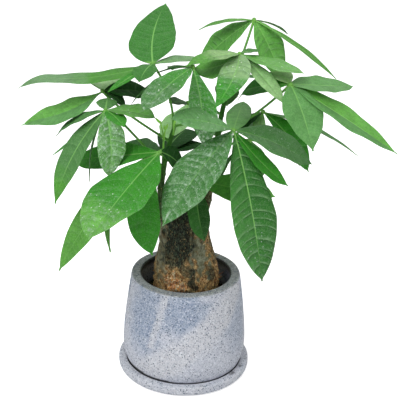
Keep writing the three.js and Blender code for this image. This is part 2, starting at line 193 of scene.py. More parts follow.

# Every palmate leaf: the stem that carries it and how far up, the place its stalk bends towards, its hub, and
# its leaflets. A leaflet has its tip, its width in mm, how far its middle rises in mm and its tone, and then
# what is unlike PLAIN. There, bend is how far its middle swings to its right and drip how far its end hangs,
# in mm. turn faces it to the front and fold is how far its halves stand up, in degrees. widest is where it is
# widest, as a share of its length, and lean shifts that on one half down and on the other up. taper makes the
# way to its tip more slender, foot the way from the hub, and tail is the share that its drawn-out tip takes.
# Its tone turns to end about the share change of its length, and half is the tone of its left half: both
# paint light and shade on some leaflets, a sheen towards a tip and one half lit and the other shaded. veins
# and ribs are how plain its side veins and its midrib are, and quilt how far it bulges between them, in mm.
# wet is how wet it looks near the hub and near the tip, which also brings its painted sheen, lit how much it
# glows, a painted glow for the light that comes through it, and one that is flipped shows its lower side
# marked as the upper one.
PLAIN = dict(
    bend=0, drip=0, turn=0, fold=9, widest=0.58, lean=0, taper=2.02, foot=None, tail=0.015, end=None,
    change=0.54, half=None, veins=0.15, ribs=0.6, quilt=0.2, wet=(0.06, 0.06), lit=0, flipped=0,
)
LEAVES = {
    "leaf_a": {"stem": "left", "at": 0.93, "by": [176, 98, 0], "hub": [153, 64, 0], "leaflets": [
        ((166, 3.5, -80), 46, 0, "mid", dict(bend=-6, fold=2, widest=0.35, lean=0.04, taper=1.2, foot=2.6,
            ribs=0.8, quilt=0.3)),
        ((200, 58, -25), 24, 1, "silver", dict(veins=0.2)),
        ((17.2, 89, 20), 39, -9, "lush", dict(drip=15, fold=3, widest=0.38, taper=0.75, foot=3.5,
            tail=0.03, end="silver", veins=0.2)),
        ((108, 92, 45), 12, 1, "fresh"), ((139, 82, 30), 24, 3, "mid"),
    ]},
    "leaf_b": {"stem": "left", "at": 0.84, "by": [118, 110, 0], "hub": [102.5, 91, 8], "leaflets": [
        ((21.2, 125.5, 25), 54, -6.5, "bright", dict(drip=4, turn=3, fold=6, widest=0.5, taper=1.6, foot=3,
            tail=0.03, half="ash", veins=0.2, ribs=0.3)),
        ((104, 73, -60), 44, 2, "frost", dict(ribs=0.2, lit=0.1)),
        ((125, 108, 12), 24, 3, "shade", dict(veins=0.2, ribs=0.2)),
        ((151, 93, -10), 34, 2, "shade", dict(turn=15, veins=0.2, ribs=0.2)),
    ]},
    "leaf_c": {"stem": "left", "at": 0.6, "by": [113, 109, 30], "hub": [105.5, 110.5, 40], "leaflets": [
        ((107.5, 98, 24), 20, 1, "grey", dict(fold=2)),
        ((56, 136.3, 40), 28, 3, "grey", dict(drip=3, tail=0.04)), ((52.8, 155, 35), 24, -2, "fresh"),
        ((55, 204, 70), 30, 8, "grey", dict(turn=12, widest=0.52, end="lush", change=0.72, veins=0.2)),
        ((89.5, 182, 42), 13, 4, "grey", dict(bend=5, drip=2)),
        ((109, 177, 44), 33, 6, "bright", dict(widest=0.5, taper=1.7, veins=0.6, quilt=0.5, wet=(1.7, 1.5),
            lit=0.3)),
        ((155.5, 118.3, 50), 38, 3, "light", dict(veins=0.2, wet=(0.3, 0.3))),
        ((124, 127, 75), 18, 2, "fresh"),
    ]},
    "leaf_d": {"stem": "left", "at": 0.72, "by": [163, 146, 35], "hub": [160, 152, 50], "leaflets": [
        ((88, 240, 112), 71, 1, "fresh", dict(bend=2, widest=0.52, lean=0.08, taper=1.8, foot=2.6,
            end="spring", change=0.7, ribs=0.75, quilt=0.4, wet=(0.14, 0.75))),
        ((59, 271, 62), 31, 9, "light", dict(bend=5, turn=45, veins=0.2)),
        ((110.5, 252.5, 85), 12, 4, "bright", dict(bend=30)),
        ((152.5, 255.5, 62), 33, 4, "fresh", dict(bend=11, turn=15, widest=0.64, taper=2.5, ribs=0.05)),
        ((184, 171, 32), 30, 3, "shade", dict(turn=45)), ((72, 160, -8), 34, 0, "fresh", dict(turn=35)),
    ]},
    "leaf_e": {"stem": "left", "at": 0.98, "by": [203, 119, 28], "hub": [233.5, 130, 45], "leaflets": [
        ((162.5, 226.5, 100), 58, 5, "mid", dict(bend=-1, widest=0.53, veins=0.35, ribs=0.4, quilt=1.0,
            wet=(1, 1))),
        ((262, 281.5, 95), 49, 7, "mid", dict(bend=1, half="forest", veins=0.75, ribs=0.9, quilt=1.5,
            wet=(0.1, 0.25))),
        ((312, 164.5, 40), 50, 5, "grey", dict(turn=14, veins=0.2, ribs=0.4, wet=(0.2, 0.2))),
        ((243.5, 101.5, -24), 24, 1, "mist", dict(fold=-3, widest=0.52, taper=1.3)),
        ((171, 119, 65), 38, 3, "mist", dict(turn=16, veins=0.2, wet=(0.4, 0.4))),
        ((288, 186, 55), 25, -2, "fresh", dict(bend=2, turn=15)),
    ]},
    "leaf_f": {"stem": "right", "at": 0.55, "by": [245, 128, -4], "hub": [263, 112, -4], "leaflets": [
        ((308.5, 172.5, 5), 37, 6, "fresh", dict(turn=20, tail=0.03, veins=0.3, ribs=0.8)),
        ((257, 138, 6), 14, 2, "pale"), ((238, 131, 4), 22, 2, "shade"),
        ((358, 156, -25), 24, 6, "ash", dict(tail=0.03)),
    ]},
    "leaf_g": {"stem": "right", "at": 0.68, "by": [245, 127, 3], "hub": [290.5, 84.5, 30], "leaflets": [
        ((313, 151.5, 75), 41, 4, "ash", dict(widest=0.46, veins=0.1)),
        ((397.8, 154.5, 45), 44, 1.5, "ash", dict(turn=8, widest=0.5, tail=0.02, half="bright", veins=0.1,
            ribs=1.2)),
        ((353, 86.5, 5), 36, 0, "ash", dict(turn=10, widest=0.5, taper=1.5, veins=0.08)),
        ((270, 72, 0), 28, 2, "dew"),
        ((237.5, 100.5, 0), 34, 2, "fresh", dict(drip=9, turn=22, widest=0.55, tail=0.03)),
    ]},
    "leaf_h": {"stem": "right", "at": 0.97, "by": [241, 62, -4], "hub": [254, 20, -20], "leaflets": [
        ((198.7, 30, -15), 14, 3, "light", dict(drip=1, tail=0.05)),
        ((200, 65, -20), 36, 3, "light", dict(bend=0.5, turn=25, veins=0.5, quilt=0.6)),
        ((281, 80, -16), 33, 3, "bright", dict(bend=1.5, turn=45, widest=0.49, veins=0.5, quilt=0.7)),
        ((336, 79, -8), 14, 4, "light", dict(turn=8)), ((287.5, 34, -60), 10, 3, "grey"),
    ]},
    "leaf_i": {"stem": "right", "at": 0.87, "by": [238, 70, 4], "hub": [239.5, 54, 15], "leaflets": [
        ((185.3, 66.5, 35), 33, 3, "pale", dict(widest=0.46, end="light", veins=0.35, quilt=0.5)),
        ((213.7, 109.5, 72), 30, 3, "pale", dict(bend=-6, widest=0.42, end="fresh", change=0.5, veins=0.4,
            quilt=0.4, wet=(0.4, 0.06))),
        ((283, 103, 50), 25, 2, "dew"),
        ((304, 73.3, 28), 38, -1, "bright", dict(veins=0.2, wet=(0.3, 0.3))),
        ((260, 50.5, 4), 14, 1, "grey"), ((192, 69, 5), 38, -5, "light", dict(turn=25, widest=0.5)),
    ]},
    "leaf_j": {"stem": "right", "at": 0.8, "by": [200, 100, 10], "hub": [193, 67, 30], "leaflets": [
        ((143.5, 110.5, 75), 36, 3, "fresh", dict(taper=1.6, end="mid", change=0.45, veins=0.1, quilt=0.4,
            wet=(0.35, 1.1))),
        ((203, 146, 10), 33, 2, "fresh", dict(bend=3, veins=0.3, quilt=0.5, wet=(0.5, 1.6), lit=0.3,
            flipped=1)),
        ((157, 73, 10), 12, 2, "shade"), ((131.4, 104, 22), 22, 3, "deep", dict(drip=4)),
        ((172, 70, -50), 24, 2, "forest", dict(tail=0.03)),
    ]},
    "leaf_l": {"stem": "right", "at": 0.75, "by": [200, 115, -15], "hub": [188, 103, -20], "leaflets": [
        ((163, 142, -60), 44, 4, "frost", dict(bend=9, lit=0.32)), ((169, 103, -12), 28, 1, "deep"),
        ((205, 140, -80), 32, 6, "shade"), ((217, 138, -62), 22, 2, "deep"),
    ]},
    "leaf_m": {"stem": "right", "at": 0.3, "by": [205, 178, 10], "hub": [196, 180, 25], "leaflets": [
        ((204.5, 241, 45), 24, 3, "mid", dict(bend=4, half="deep")),
        ((275, 196.7, 55), 31, 0, "bright", dict(turn=40)), ((182, 207, 55), 20, 3, "deep"),
        ((186, 160, -25), 28, 3, "shade"),
    ]},
    "leaf_n": {"stem": "left", "at": 0.5, "by": [163, 158, -20], "hub": [163, 155, -50], "leaflets": [
        ((120, 146, -70), 40, 5, "forest"), ((142, 152, -125), 36, 5, "mid"),
        ((188, 129, -140), 42, 4, "shade", dict(wet=(0.12, 0.12))), ((105, 168, -50), 32, 5, "mid"),
        ((205, 144, -108), 40, 4, "shade"),
    ]},
    "leaf_o": {"stem": "right", "at": 0.5, "by": [235, 138, -20], "hub": [250, 140, -50], "leaflets": [
        ((300, 166, -60), 34, 5, "deep"), ((278, 136, -120), 36, 5, "mid"),
        ((240, 122, -135), 36, 5, "deep"), ((222, 177, -60), 34, 4, "shade"),
        ((254, 184, -95), 32, 5, "mid"),
    ]},
    "leaf_p": {"stem": "right", "at": 0.25, "by": [208, 180, -25], "hub": [208, 182, -50], "leaflets": [
        ((180, 196, -95), 34, 4, "mid"), ((238, 185, -118), 36, 4, "fresh"),
        ((205, 166, -135), 34, 4, "mid"), ((246, 208, -62), 32, 4, "deep"),
    ]},
    "leaf_q": {"stem": "right", "at": 0.9, "by": [226, 80, -30], "hub": [226, 78, -55], "leaflets": [
        ((207, 66, -95), 24, 2, "light"), ((232, 70, -125), 34, 2, "mid"), ((262, 78, -105), 32, 2, "mid"),
        ((227, 106, -85), 26, 4, "deep"),
    ]},
}


# Places and curves
def unit(vectors):
    """Each vector over its own length."""
    return vectors / np.linalg.norm(vectors, axis=-1, keepdims=True)


def view_axes():
    """The view's forward, right and up directions: the level camera pitched down, then rolled."""
    forward = np.array([0, math.cos(VIEW_PITCH), -math.sin(VIEW_PITCH)])
    level = np.array([1.0, 0, 0])
    upright = np.array([0, math.sin(VIEW_PITCH), math.cos(VIEW_PITCH)])
    right = level * math.cos(VIEW_ROLL) + upright * math.sin(VIEW_ROLL)
    up = upright * math.cos(VIEW_ROLL) - level * math.sin(VIEW_ROLL)
    return forward, right, up


def seen(place):
    """The point where the ray through a pixel meets the upright plane that many mm in front of the axis."""
    across, down, near = place
    forward, right, up = view_axes()
    eye = VIEW_TARGET - forward * VIEW_DISTANCE
    ray = forward * VIEW_FOCAL_PIXELS + right * (across - VIEW_PIXELS / 2) + up * (VIEW_PIXELS / 2 - down)
    return eye + ray * (-near * MM - eye[1]) / ray[1]


def arc_bezier(start, middle, end, share):
    """Points and unit tangents of the quadratic curve (1-t)^2 start + 2t(1-t) middle + t^2 end."""
    t = share[:, None]
    points = (1 - t) ** 2 * start + 2 * t * (1 - t) * middle + t ** 2 * end
    return points, unit(2 * (1 - t) * (middle - start) + 2 * t * (end - middle))


def hermite(a, b, leave, arrive, t):
    """The cubic from a to b with these slopes, as a share t of the way."""
    gap = b - a
    return a + leave * t + (3 * gap - 2 * leave - arrive) * t ** 2 + (leave + arrive - 2 * gap) * t ** 3


def through(places, count=240):
    """A smooth curve through places: a cubic between each two, whose slopes weigh the square roots of the
    distances on both sides. Returned at even steps of length, as points and unit tangents."""
    points = np.array([seen(place) for place in places])
    points = np.vstack([2 * points[0] - points[1], points, 2 * points[-1] - points[-2]])
    share = np.linspace(0, 1, 60, endpoint=False)[:, None]
    rows = []
    for a, b, c, d in zip(points, points[1:], points[2:], points[3:]):
        before, between, after = (np.sqrt(np.linalg.norm(q - p)) for p, q in ((a, b), (b, c), (c, d)))
        leave = ((b - a) / before - (c - a) / (before + between) + (c - b) / between) * between
        arrive = ((c - b) / between - (d - b) / (between + after) + (d - c) / after) * between
        rows.append(hermite(b, c, leave, arrive, share))
    dense = np.vstack([*rows, points[-2:-1]])
    run = np.r_[0, np.cumsum(np.linalg.norm(np.diff(dense, axis=0), axis=1))]
    even = np.linspace(0, run[-1], count)
    line = np.stack([np.interp(even, run, dense[:, k]) for k in range(3)], axis=1)
    return line, unit(np.gradient(line, axis=0))


def waves(points, length, seed, count=14):
    """A smooth random field from about -1 to 1: the mean of sine waves of about that length, in random
    directions and with random phases, times the root of their number."""
    draw = np.random.default_rng(seed)
    directions = unit(draw.normal(size=(count, points.shape[-1])))
    pace = 2 * np.pi / (length * draw.uniform(0.7, 1.5, count))
    phase = draw.uniform(0, 2 * np.pi, count)
    return np.sin(points @ (directions.T * pace) + phase).sum(-1) / np.sqrt(count)


def relief(points, size, seed):
    """Waves of a size, which is their height and their length."""
    height, length = size
    return height * waves(points, length, seed)


def smooth(value, low, high):
    """0 below low, 1 above high and a smooth step between them."""
    share = np.clip((value - low) / (high - low), 0, 1)
    return share * share * (3 - 2 * share)


def strongest(*fields):
    """The largest of several fields at each point."""
    return np.maximum.reduce(fields)


# Meshes
def circle(sides):
    """That many even angles once round."""
    return np.linspace(0, 2 * np.pi, sides, endpoint=False)


def skin(points, marks):
    """A closed skin over rows of points: faces between each two rows, all the way round, and a fan about the
    middle of the first row and of the last. It faces outwards, which the sign of its volume tells."""
    rows, around = points.shape[:2]
    corners = np.arange(rows * around).reshape(rows, around)
    beside = np.roll(corners, -1, axis=1)
    quads = np.stack([corners[:-1], beside[:-1], beside[1:], corners[1:]], axis=-1).reshape(-1, 4)
    start = np.full(around, rows * around)
    fans = np.vstack([
        np.stack([start, beside[0], corners[0]], axis=-1),
        np.stack([start + 1, corners[-1], beside[-1]], axis=-1),
    ])

    def listed(grid):
        """The rows' values one after another, and then the mean of the first row and of the last."""
        ends = [grid[k].reshape(around, -1).mean(0) for k in (0, -1)]
        return np.vstack([grid.reshape(rows * around, -1), *ends])

    verts = listed(points)
    triangles = np.vstack([quads[:, [0, 1, 2]], quads[:, [0, 2, 3]], fans])
    a, b, c = (verts[triangles[:, k]] - verts.mean(0) for k in range(3))
    if np.einsum("ij,ij->i", a, np.cross(b, c)).sum() < 0:
        quads = quads[:, ::-1]
        fans = fans[:, ::-1]
    return verts, quads, fans, {name: listed(values) for name, values in marks.items()}


def make_piece(name, skins, material, replaced=()):
    """One object out of several skins, with their marks as attributes of the points, riding on the body."""
    mesh = bpy.data.meshes.new(name)
    offsets = np.cumsum([0] + [len(one[0]) for one in skins])
    verts = np.vstack([one[0] for one in skins])
    quads, fans = (np.vstack([one[k] + offset for one, offset in zip(skins, offsets)]) for k in (1, 2))
    loops = np.concatenate([quads.ravel(), fans.ravel()])
    sizes = np.concatenate([np.full(len(quads), 4), np.full(len(fans), 3)])
    mesh.vertices.add(len(verts))
    mesh.vertices.foreach_set("co", verts.astype(np.float32).ravel())
    mesh.loops.add(len(loops))
    mesh.loops.foreach_set("vertex_index", loops.astype(np.int32))
    mesh.polygons.add(len(sizes))
    mesh.polygons.foreach_set("loop_start", np.concatenate([[0], np.cumsum(sizes)[:-1]]).astype(np.int32))
    mesh.update(calc_edges=True)
    kinds = {1: ("FLOAT", "value"), 3: ("FLOAT_VECTOR", "vector"), 4: ("FLOAT_COLOR", "color")}
    for key in skins[0][3]:
        values = np.vstack([one[3][key] for one in skins]).astype(np.float32)
        kind, field = kinds[values.shape[1]]
        mesh.attributes.new(key, kind, "POINT").data.foreach_set(field, values.ravel())
    mesh.shade_smooth()
    mesh.materials.append(material)
    piece = bpy.data.objects.new(name, mesh)
    bpy.context.scene.collection.objects.link(piece)
    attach(piece, "root")
    if replaced:
        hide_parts(*replaced)


def rings(centres, tangents, radii, sides):
    """Rows of points round a curve: centre + radius (normal cos a + binormal sin a). Each normal is the last
    one made square to the curve again, so that the section doesn't turn."""
    normals = np.empty_like(tangents)
    last = SKY + FRONT * 0.01
    for i, tangent in enumerate(tangents):
        last = unit(last - tangent * np.dot(last, tangent))
        normals[i] = last
    angle = circle(sides)[:, None]
    spokes = normals[:, None] * np.cos(angle) + np.cross(tangents, normals)[:, None] * np.sin(angle)
    return centres[:, None] + radii.reshape(len(centres), -1, 1) * spokes


def turned(section, sides=WARE_SIDES):
    """Rows of points: each [radius, height] of the section carried round the axis."""
    radius, height = np.asarray(section).T[..., None]
    angle = circle(sides)
    return np.stack([radius * np.cos(angle), radius * np.sin(angle), height + 0 * angle], axis=-1)


# The ware
def corner(centre, reach, start, stop, steps, squareness=2):
    """Points of a rounded corner: centre + reach times the cosine and the sine, each raised to 2 over the
    squareness, so that a squareness of 2 is an ellipse and more fills the corner out."""
    angle = np.radians(np.linspace(start, stop, steps + 1))
    wave = np.stack([np.cos(angle), np.sin(angle)], axis=1)
    return np.asarray(centre) + np.asarray(reach) * np.sign(wave) * np.abs(wave) ** (2 / squareness)


def pot_outer(height):
    """The pot's outer radius: the belly's, less the lean times the share of the way up raised to a power."""
    rise = np.clip((height - POT_BELLY_HEIGHT) / (POT_TOP - POT_BELLY_HEIGHT), 0, 1)
    return POT_BELLY_RADIUS + (POT_RIM_RADIUS - POT_BELLY_RADIUS) * rise ** POT_LEAN_POWER


def finely(section):
    """The section with points added along each of its straight stretches, at most WARE_STEP apart."""
    made = [section[:1]]
    for a, b in zip(section, section[1:]):
        count = max(int(np.ceil(np.linalg.norm(b - a) / WARE_STEP)), 1)
        share = np.linspace(0, 1, count + 1)[1:, None]
        made.append(a + (b - a) * share)
    return np.vstack(made)


def make_saucer(material):
    """A shallow dish with a flat rim, rounded outside, on its flat foot. It is a little warmer than the pot,
    by random waves, and two small dark stains lie on the right of its rim. Its inside, under the pot, is
    painted dark as shade."""
    inner = SAUCER_RADIUS - SAUCER_RIM_WIDTH
    bulge = [SAUCER_RADIUS - SAUCER_FOOT_RADIUS, SAUCER_BULGE_HEIGHT]
    outer = SAUCER_OUTER_ROUNDING
    lip = SAUCER_INNER_ROUNDING
    grid = turned(finely(np.vstack([
        [[POLE, 0]],
        corner([SAUCER_FOOT_RADIUS, SAUCER_BULGE_HEIGHT], bulge, -90, 0, 16, SAUCER_SQUARENESS),
        corner([SAUCER_RADIUS - outer, SAUCER_HEIGHT - outer], outer, 0, 90, 8),
        corner([inner + lip, SAUCER_HEIGHT - lip], lip, 90, 180, 6),
        [[inner - SAUCER_DRAFT, SAUCER_FLOOR], [POLE, SAUCER_FLOOR]],
    ])))
    radius = np.hypot(grid[..., 0], grid[..., 1])
    turn = np.degrees(np.arctan2(grid[..., 1], grid[..., 0]))
    # The deep mark: painted shade over the inside, under the pot, and then the two dark stains on the rim
    deep = (radius < inner - 0.4 * MM) * (grid[..., 2] > 1 * MM) * 0.9
    for place, wide in ((-36, 4), (-21, 2)):
        spot = np.exp(-((turn - place) / wide) ** 2 - ((radius - 65 * MM) / (3 * MM)) ** 2)
        deep = strongest(deep, 0.75 * smooth(spot + 0.15 * waves(grid, 3 * MM, 9), 0.3, 0.8))
    blue = 0.2 * smooth(waves(grid, 40 * MM, 8), 0.2, 1)
    marks = {"stone": np.stack([blue, 0.6 - blue, deep], axis=-1)}
    make_piece("saucer_ware", [skin(grid, marks)], material, ["saucer"])


def make_pot(material):
    """A rounded foot, a belly low down, walls that lean in to a flat rim, and a hollow inside. The wall is
    uneven by a tenth of a millimetre, as cast stoneware is. Marks give how blue and how warm the stone is, as
    soft patches and a slanting band on the front and as random waves all round, and painted shade: dark down
    the inside, and a dark band of painted shadow low on the foot, wider on the left."""
    rounding = POT_RIM_ROUNDING
    rim = POT_TOP - rounding
    foot = [POT_BELLY_RADIUS - POT_FOOT_RADIUS, POT_BELLY_HEIGHT - POT_BASE]
    wall = np.linspace(POT_BELLY_HEIGHT, rim, 24)[1:-1]
    outside = np.stack([pot_outer(wall), wall], axis=1)
    grid = turned(finely(np.vstack([
        [[POLE, POT_BASE]],
        corner([POT_FOOT_RADIUS, POT_BELLY_HEIGHT], foot, -90, 0, 22, POT_FOOT_SQUARENESS),
        outside,
        corner([POT_RIM_RADIUS - rounding, rim], rounding, 0, 90, 8),
        corner([POT_RIM_RADIUS - POT_WALL + rounding, rim], rounding, 90, 180, 8),
        (outside - [POT_WALL, 0])[::-1],
        [[POT_BELLY_RADIUS - POT_WALL, POT_BELLY_HEIGHT], [POT_INNER_FOOT_RADIUS, POT_FLOOR],
         [POLE, POT_FLOOR]],
    ])))
    around = (np.degrees(np.arctan2(grid[..., 1], grid[..., 0])) + 90 + 180) % 360 - 180
    up = grid[..., 2]
    clouds = waves(grid, 45 * MM, 5)
    small = waves(grid, 16 * MM, 6)
    front = np.abs(around) < 75
    behind = np.abs(around) > 75

    def patch(turn, middle, wide, tall):
        """1 at a place given by its turn from the front and its height in mm, fading to 0 past its reach."""
        away = np.hypot((around - turn) / wide, (up / MM - middle) / tall) + 0.12 * small
        return 1 - smooth(away, 0.4, 1.2)

    blue = strongest(patch(-42, 78, 27, 46), patch(0, 93, 32, 31), 0.6 * patch(64, 70, 24, 40),
                     smooth(clouds, 0.3, 0.9) * behind)
    slant = np.abs(up / MM - 50 - 0.9 * around) + 2.5 * small
    streak = np.abs(around + 20 + 0.22 * (104 - up / MM)) + small
    warm = strongest((1 - smooth(slant, 10, 26)) * front, 0.8 * (1 - smooth(streak, 1.5, 5)) * (up > 50 * MM),
                     smooth(-clouds, 0.3, 0.9) * behind)
    lumps = relief(grid, POT_LUMPS, 3)
    grid[..., :2] += unit(grid[..., :2]) * (lumps * (up > POT_BASE + 4 * MM))[..., None]
    radius = np.hypot(grid[..., 0], grid[..., 1])
    # Painted shade: the inside is dark, a little less so near the rim, and the foot is dark low down, in a
    # band of painted shadow over the saucer that is wider on the left
    inside_shade = smooth(POT_RIM_RADIUS - POT_WALL + 1.6 * MM - radius, 0, 1.2 * MM) * (up > POT_FLOOR)
    inside_shade = inside_shade * (1 - 0.25 * smooth(up, POT_TOP - 8 * MM, POT_TOP))
    inside_shade = inside_shade * (np.arange(len(grid)) > len(grid) // 2)[:, None]
    shadow = 13 * MM + 2 * MM * smooth(-around, 0, 50) * (around > -110)
    shaded = 0.85 * (up < shadow) * (radius > POT_INNER_FOOT_RADIUS + 4 * MM)
    marks = {"stone": np.stack([blue * (1 - 0.8 * warm), warm, strongest(inside_shade, shaded)], axis=-1)}
    make_piece("pot_ware", [skin(grid, marks)], material, ["pot"])


def mound(radius):
    """How far the soil rises at a radius, as a share of its mound: a smooth step towards the trunk."""
    return smooth(-radius, -46 * MM, -34 * MM)


def make_soil(material):
    """A low mound from the pot's wall to the trunk, raised by random waves of three lengths. Below it is a
    plain plug, as wide as the pot is inside."""
    top = np.linspace(pot_outer(SOIL_HEIGHT) - POT_WALL - CLEARANCE, 26 * MM, 34)
    height = SOIL_HEIGHT - 1 * MM + (SOIL_MOUND + 1 * MM) * mound(top)
    grid = turned(np.vstack([
        [[POLE, POT_FLOOR + CLEARANCE], [POT_INNER_FOOT_RADIUS - CLEARANCE, POT_FLOOR + CLEARANCE],
         [POT_BELLY_RADIUS - POT_WALL - 2 * CLEARANCE, POT_BELLY_HEIGHT]],
        np.stack([top, height], axis=1),
        [[POLE, SOIL_HEIGHT - 6 * MM]],
    ]))
    lumps = sum(relief(grid, size, 11 + k) for k, size in enumerate(SOIL_LUMPS))
    grid[3:-1, :, 2] += lumps[3:-1] * smooth(np.arange(len(top)), 0, 4)[:, None]
    make_piece("soil_mound", [skin(grid, {})], material, ["soil"])


def make_crumbs(material):
    """Crumbs of soil: small uneven balls on the mound, at random places between the trunk and the pot."""
    draw = np.random.default_rng(61)
    skins = []
    polar = np.linspace(0.35, np.pi - 0.35, 6)
    ball = turned(np.stack([np.sin(polar), np.cos(polar)], axis=1), 8)
    for _ in range(CRUMB_COUNT):
        far = draw.uniform(*CRUMB_RING)
        turn = draw.uniform(0, 2 * np.pi)
        size = draw.uniform(*CRUMB_SIZES) * draw.uniform(0.7, 1.3, 3)
        lift = SOIL_HEIGHT + SOIL_MOUND * mound(far) + 0.4 * MM
        place = np.array([far * math.cos(turn), far * math.sin(turn), lift])
        skins.append(skin(place + ball * size * (1 + 0.2 * waves(ball + turn, 1.2, 62))[..., None], {}))
    make_piece("soil_crumbs", skins, material)


# The trunk and the stems
def trunk_profile(height):
    """The trunk's centre across and its radius at each height: cubics between the rings, with even slopes."""
    knots = TRUNK_RINGS[:, 0]
    values = TRUNK_RINGS[:, 1:]
    slopes = np.gradient(values, knots, axis=0)
    place = np.clip(np.searchsorted(knots, height, side="right") - 1, 0, len(knots) - 2)
    gap = (knots[place + 1] - knots[place])[:, None]
    t = (height - knots[place])[:, None] / gap
    found = hermite(values[place], values[place + 1], slopes[place] * gap, slopes[place + 1] * gap, t)
    return found[:, 0], found[:, 1]


def make_trunk(material):
    """The stump: rings of the trunk's radius, raised by slow ridges that drift with height, by upright
    fissures, which are random waves squeezed across, and by rough fibres where the bark is torn. Marks give
    how charred, torn or smooth the bark is, each a soft patch about a place on the front or a field of waves.
    Returned are its points and how torn it is there."""
    height = np.linspace(TRUNK_RINGS[0, 0], TRUNK_RINGS[-1, 0], TRUNK_ROWS)
    across, radius = trunk_profile(height)
    angle = circle(TRUNK_SIDES)
    bare = turned(np.stack([radius, height], axis=1), TRUNK_SIDES)
    ring = np.interp(height, TRUNK_RINGS[:, 0], np.arange(len(TRUNK_RINGS)))[:, None]
    ridges = 0.025 * np.sin(3 * angle + 0.35 * ring) + 0.015 * np.sin(5 * angle - 0.8 * ring + 1)
    above = smooth(height, SOIL_HEIGHT + 3 * MM, SOIL_HEIGHT + 12 * MM)[:, None]
    upright = bare * np.array([1, 1, 0.22])
    height = height[:, None]

    def patch(turn, middle, wide, tall, rough, seed):
        """1 at a place on the trunk, given by its turn in degrees and its height in mm, and 0 past its reach
        in mm to each side and up, with an edge that random waves make ragged."""
        away = np.angle(np.exp(1j * (angle - math.radians(turn))))[None] * 32 / wide
        up = (height / MM - middle) / tall
        return smooth(1 - np.hypot(away, up) + rough * waves(bare, 7 * MM, seed), -0.15, 0.3)

    charred = strongest(
        patch(-100, 162, 22, 32, 0.22, 21), 0.75 * patch(-118, 143, 17, 12, 0.3, 29),
        0.9 * patch(-75, 116, 4.5, 14, 0.25, 22), 0.8 * smooth(waves(bare, 30 * MM, 23), 0.7, 1.2))
    level = 125 * MM + 5 * MM * waves(bare, 12 * MM, 26)
    torn = strongest(
        0.62 * (1 - smooth(height - level, -4 * MM, 5 * MM)), patch(-109, 108, 13, 19, 0.4, 24),
        0.75 * patch(-72, 142, 7, 16, 0.5, 25), 0.6 * patch(-30, 138, 7, 30, 0.3, 20))
    bald = strongest(
        patch(-54, 140, 15, 21, 0.45, 27), 0.75 * patch(-146, 140, 11, 30, 0.35, 28),
        0.7 * patch(140, 126, 14, 24, 0.3, 19))
    deep, apart = FISSURES
    fissures = -deep * smooth(waves(upright, apart, 31), 0.55, 1.35) * (1 - 0.85 * bald)
    grain = relief(upright, FINE_GRAIN, 32) * (1 - 0.8 * bald) + relief(bare, COARSE_GRAIN, 33)
    along = bare * np.array([1, 1, 0.45])
    fibres = torn * (relief(along, FINE_FIBRES, 34) + relief(bare, COARSE_FIBRES, 35))
    lift = radius[:, None] * ridges + fissures + grain + fibres - WORN_DEPTH * bald
    grid = bare.copy()
    grid[..., :2] += unit(bare[..., :2]) * (lift * above)[..., None]
    grid[..., 0] += across[:, None]
    marks = {"charred": charred, "torn": torn, "bald": bald, "green": np.zeros_like(torn)}
    make_piece("trunk_stump", [skin(grid, marks)], material, ["trunk"])
    return grid, torn


def make_stem(name, stem, material):
    """A stem: a tube along its curve that thins to its top, with slow swellings where leaves have been, a
    random grain along it, and a rounded end. Its marks say how green it is, more so towards the top, and how
    dark its bark is, as char and as painted shade."""
    line, tangents = through(stem["route"])
    share = np.linspace(0, 1, len(line))
    foot, top = stem["radii"]
    radius = foot + (top - foot) * share
    swell = sum(JOINT_SWELL * np.exp(-((share - at) / JOINT_REACH) ** 2) for at in STEM_JOINTS)
    radius = radius * (1 + swell)
    radius = radius * np.sqrt(np.clip(1 - ((share - 0.985) / 0.015).clip(0, 1) ** 2, 0.02, 1))
    around = turned(np.stack([np.ones(len(line)), share * 6], axis=1), STEM_SIDES)
    uneven = 1 + 0.045 * waves(around, 0.9, 41) + 0.02 * waves(around, 0.35, 42)
    grid = rings(line, tangents, radius[:, None] * uneven, STEM_SIDES)
    zero = np.zeros(grid.shape[:2])
    start, least = stem["greening"]
    green = zero + least + (1 - least) * smooth(share, start, start + 0.3)[:, None]
    # The charred mark here is char and painted shade, most on the left stem, which lies in shade
    marks = {"charred": zero + stem["char_and_shade"], "torn": zero, "bald": zero, "green": green}
    make_piece(f"stem_{name}", [skin(grid, marks)], material)


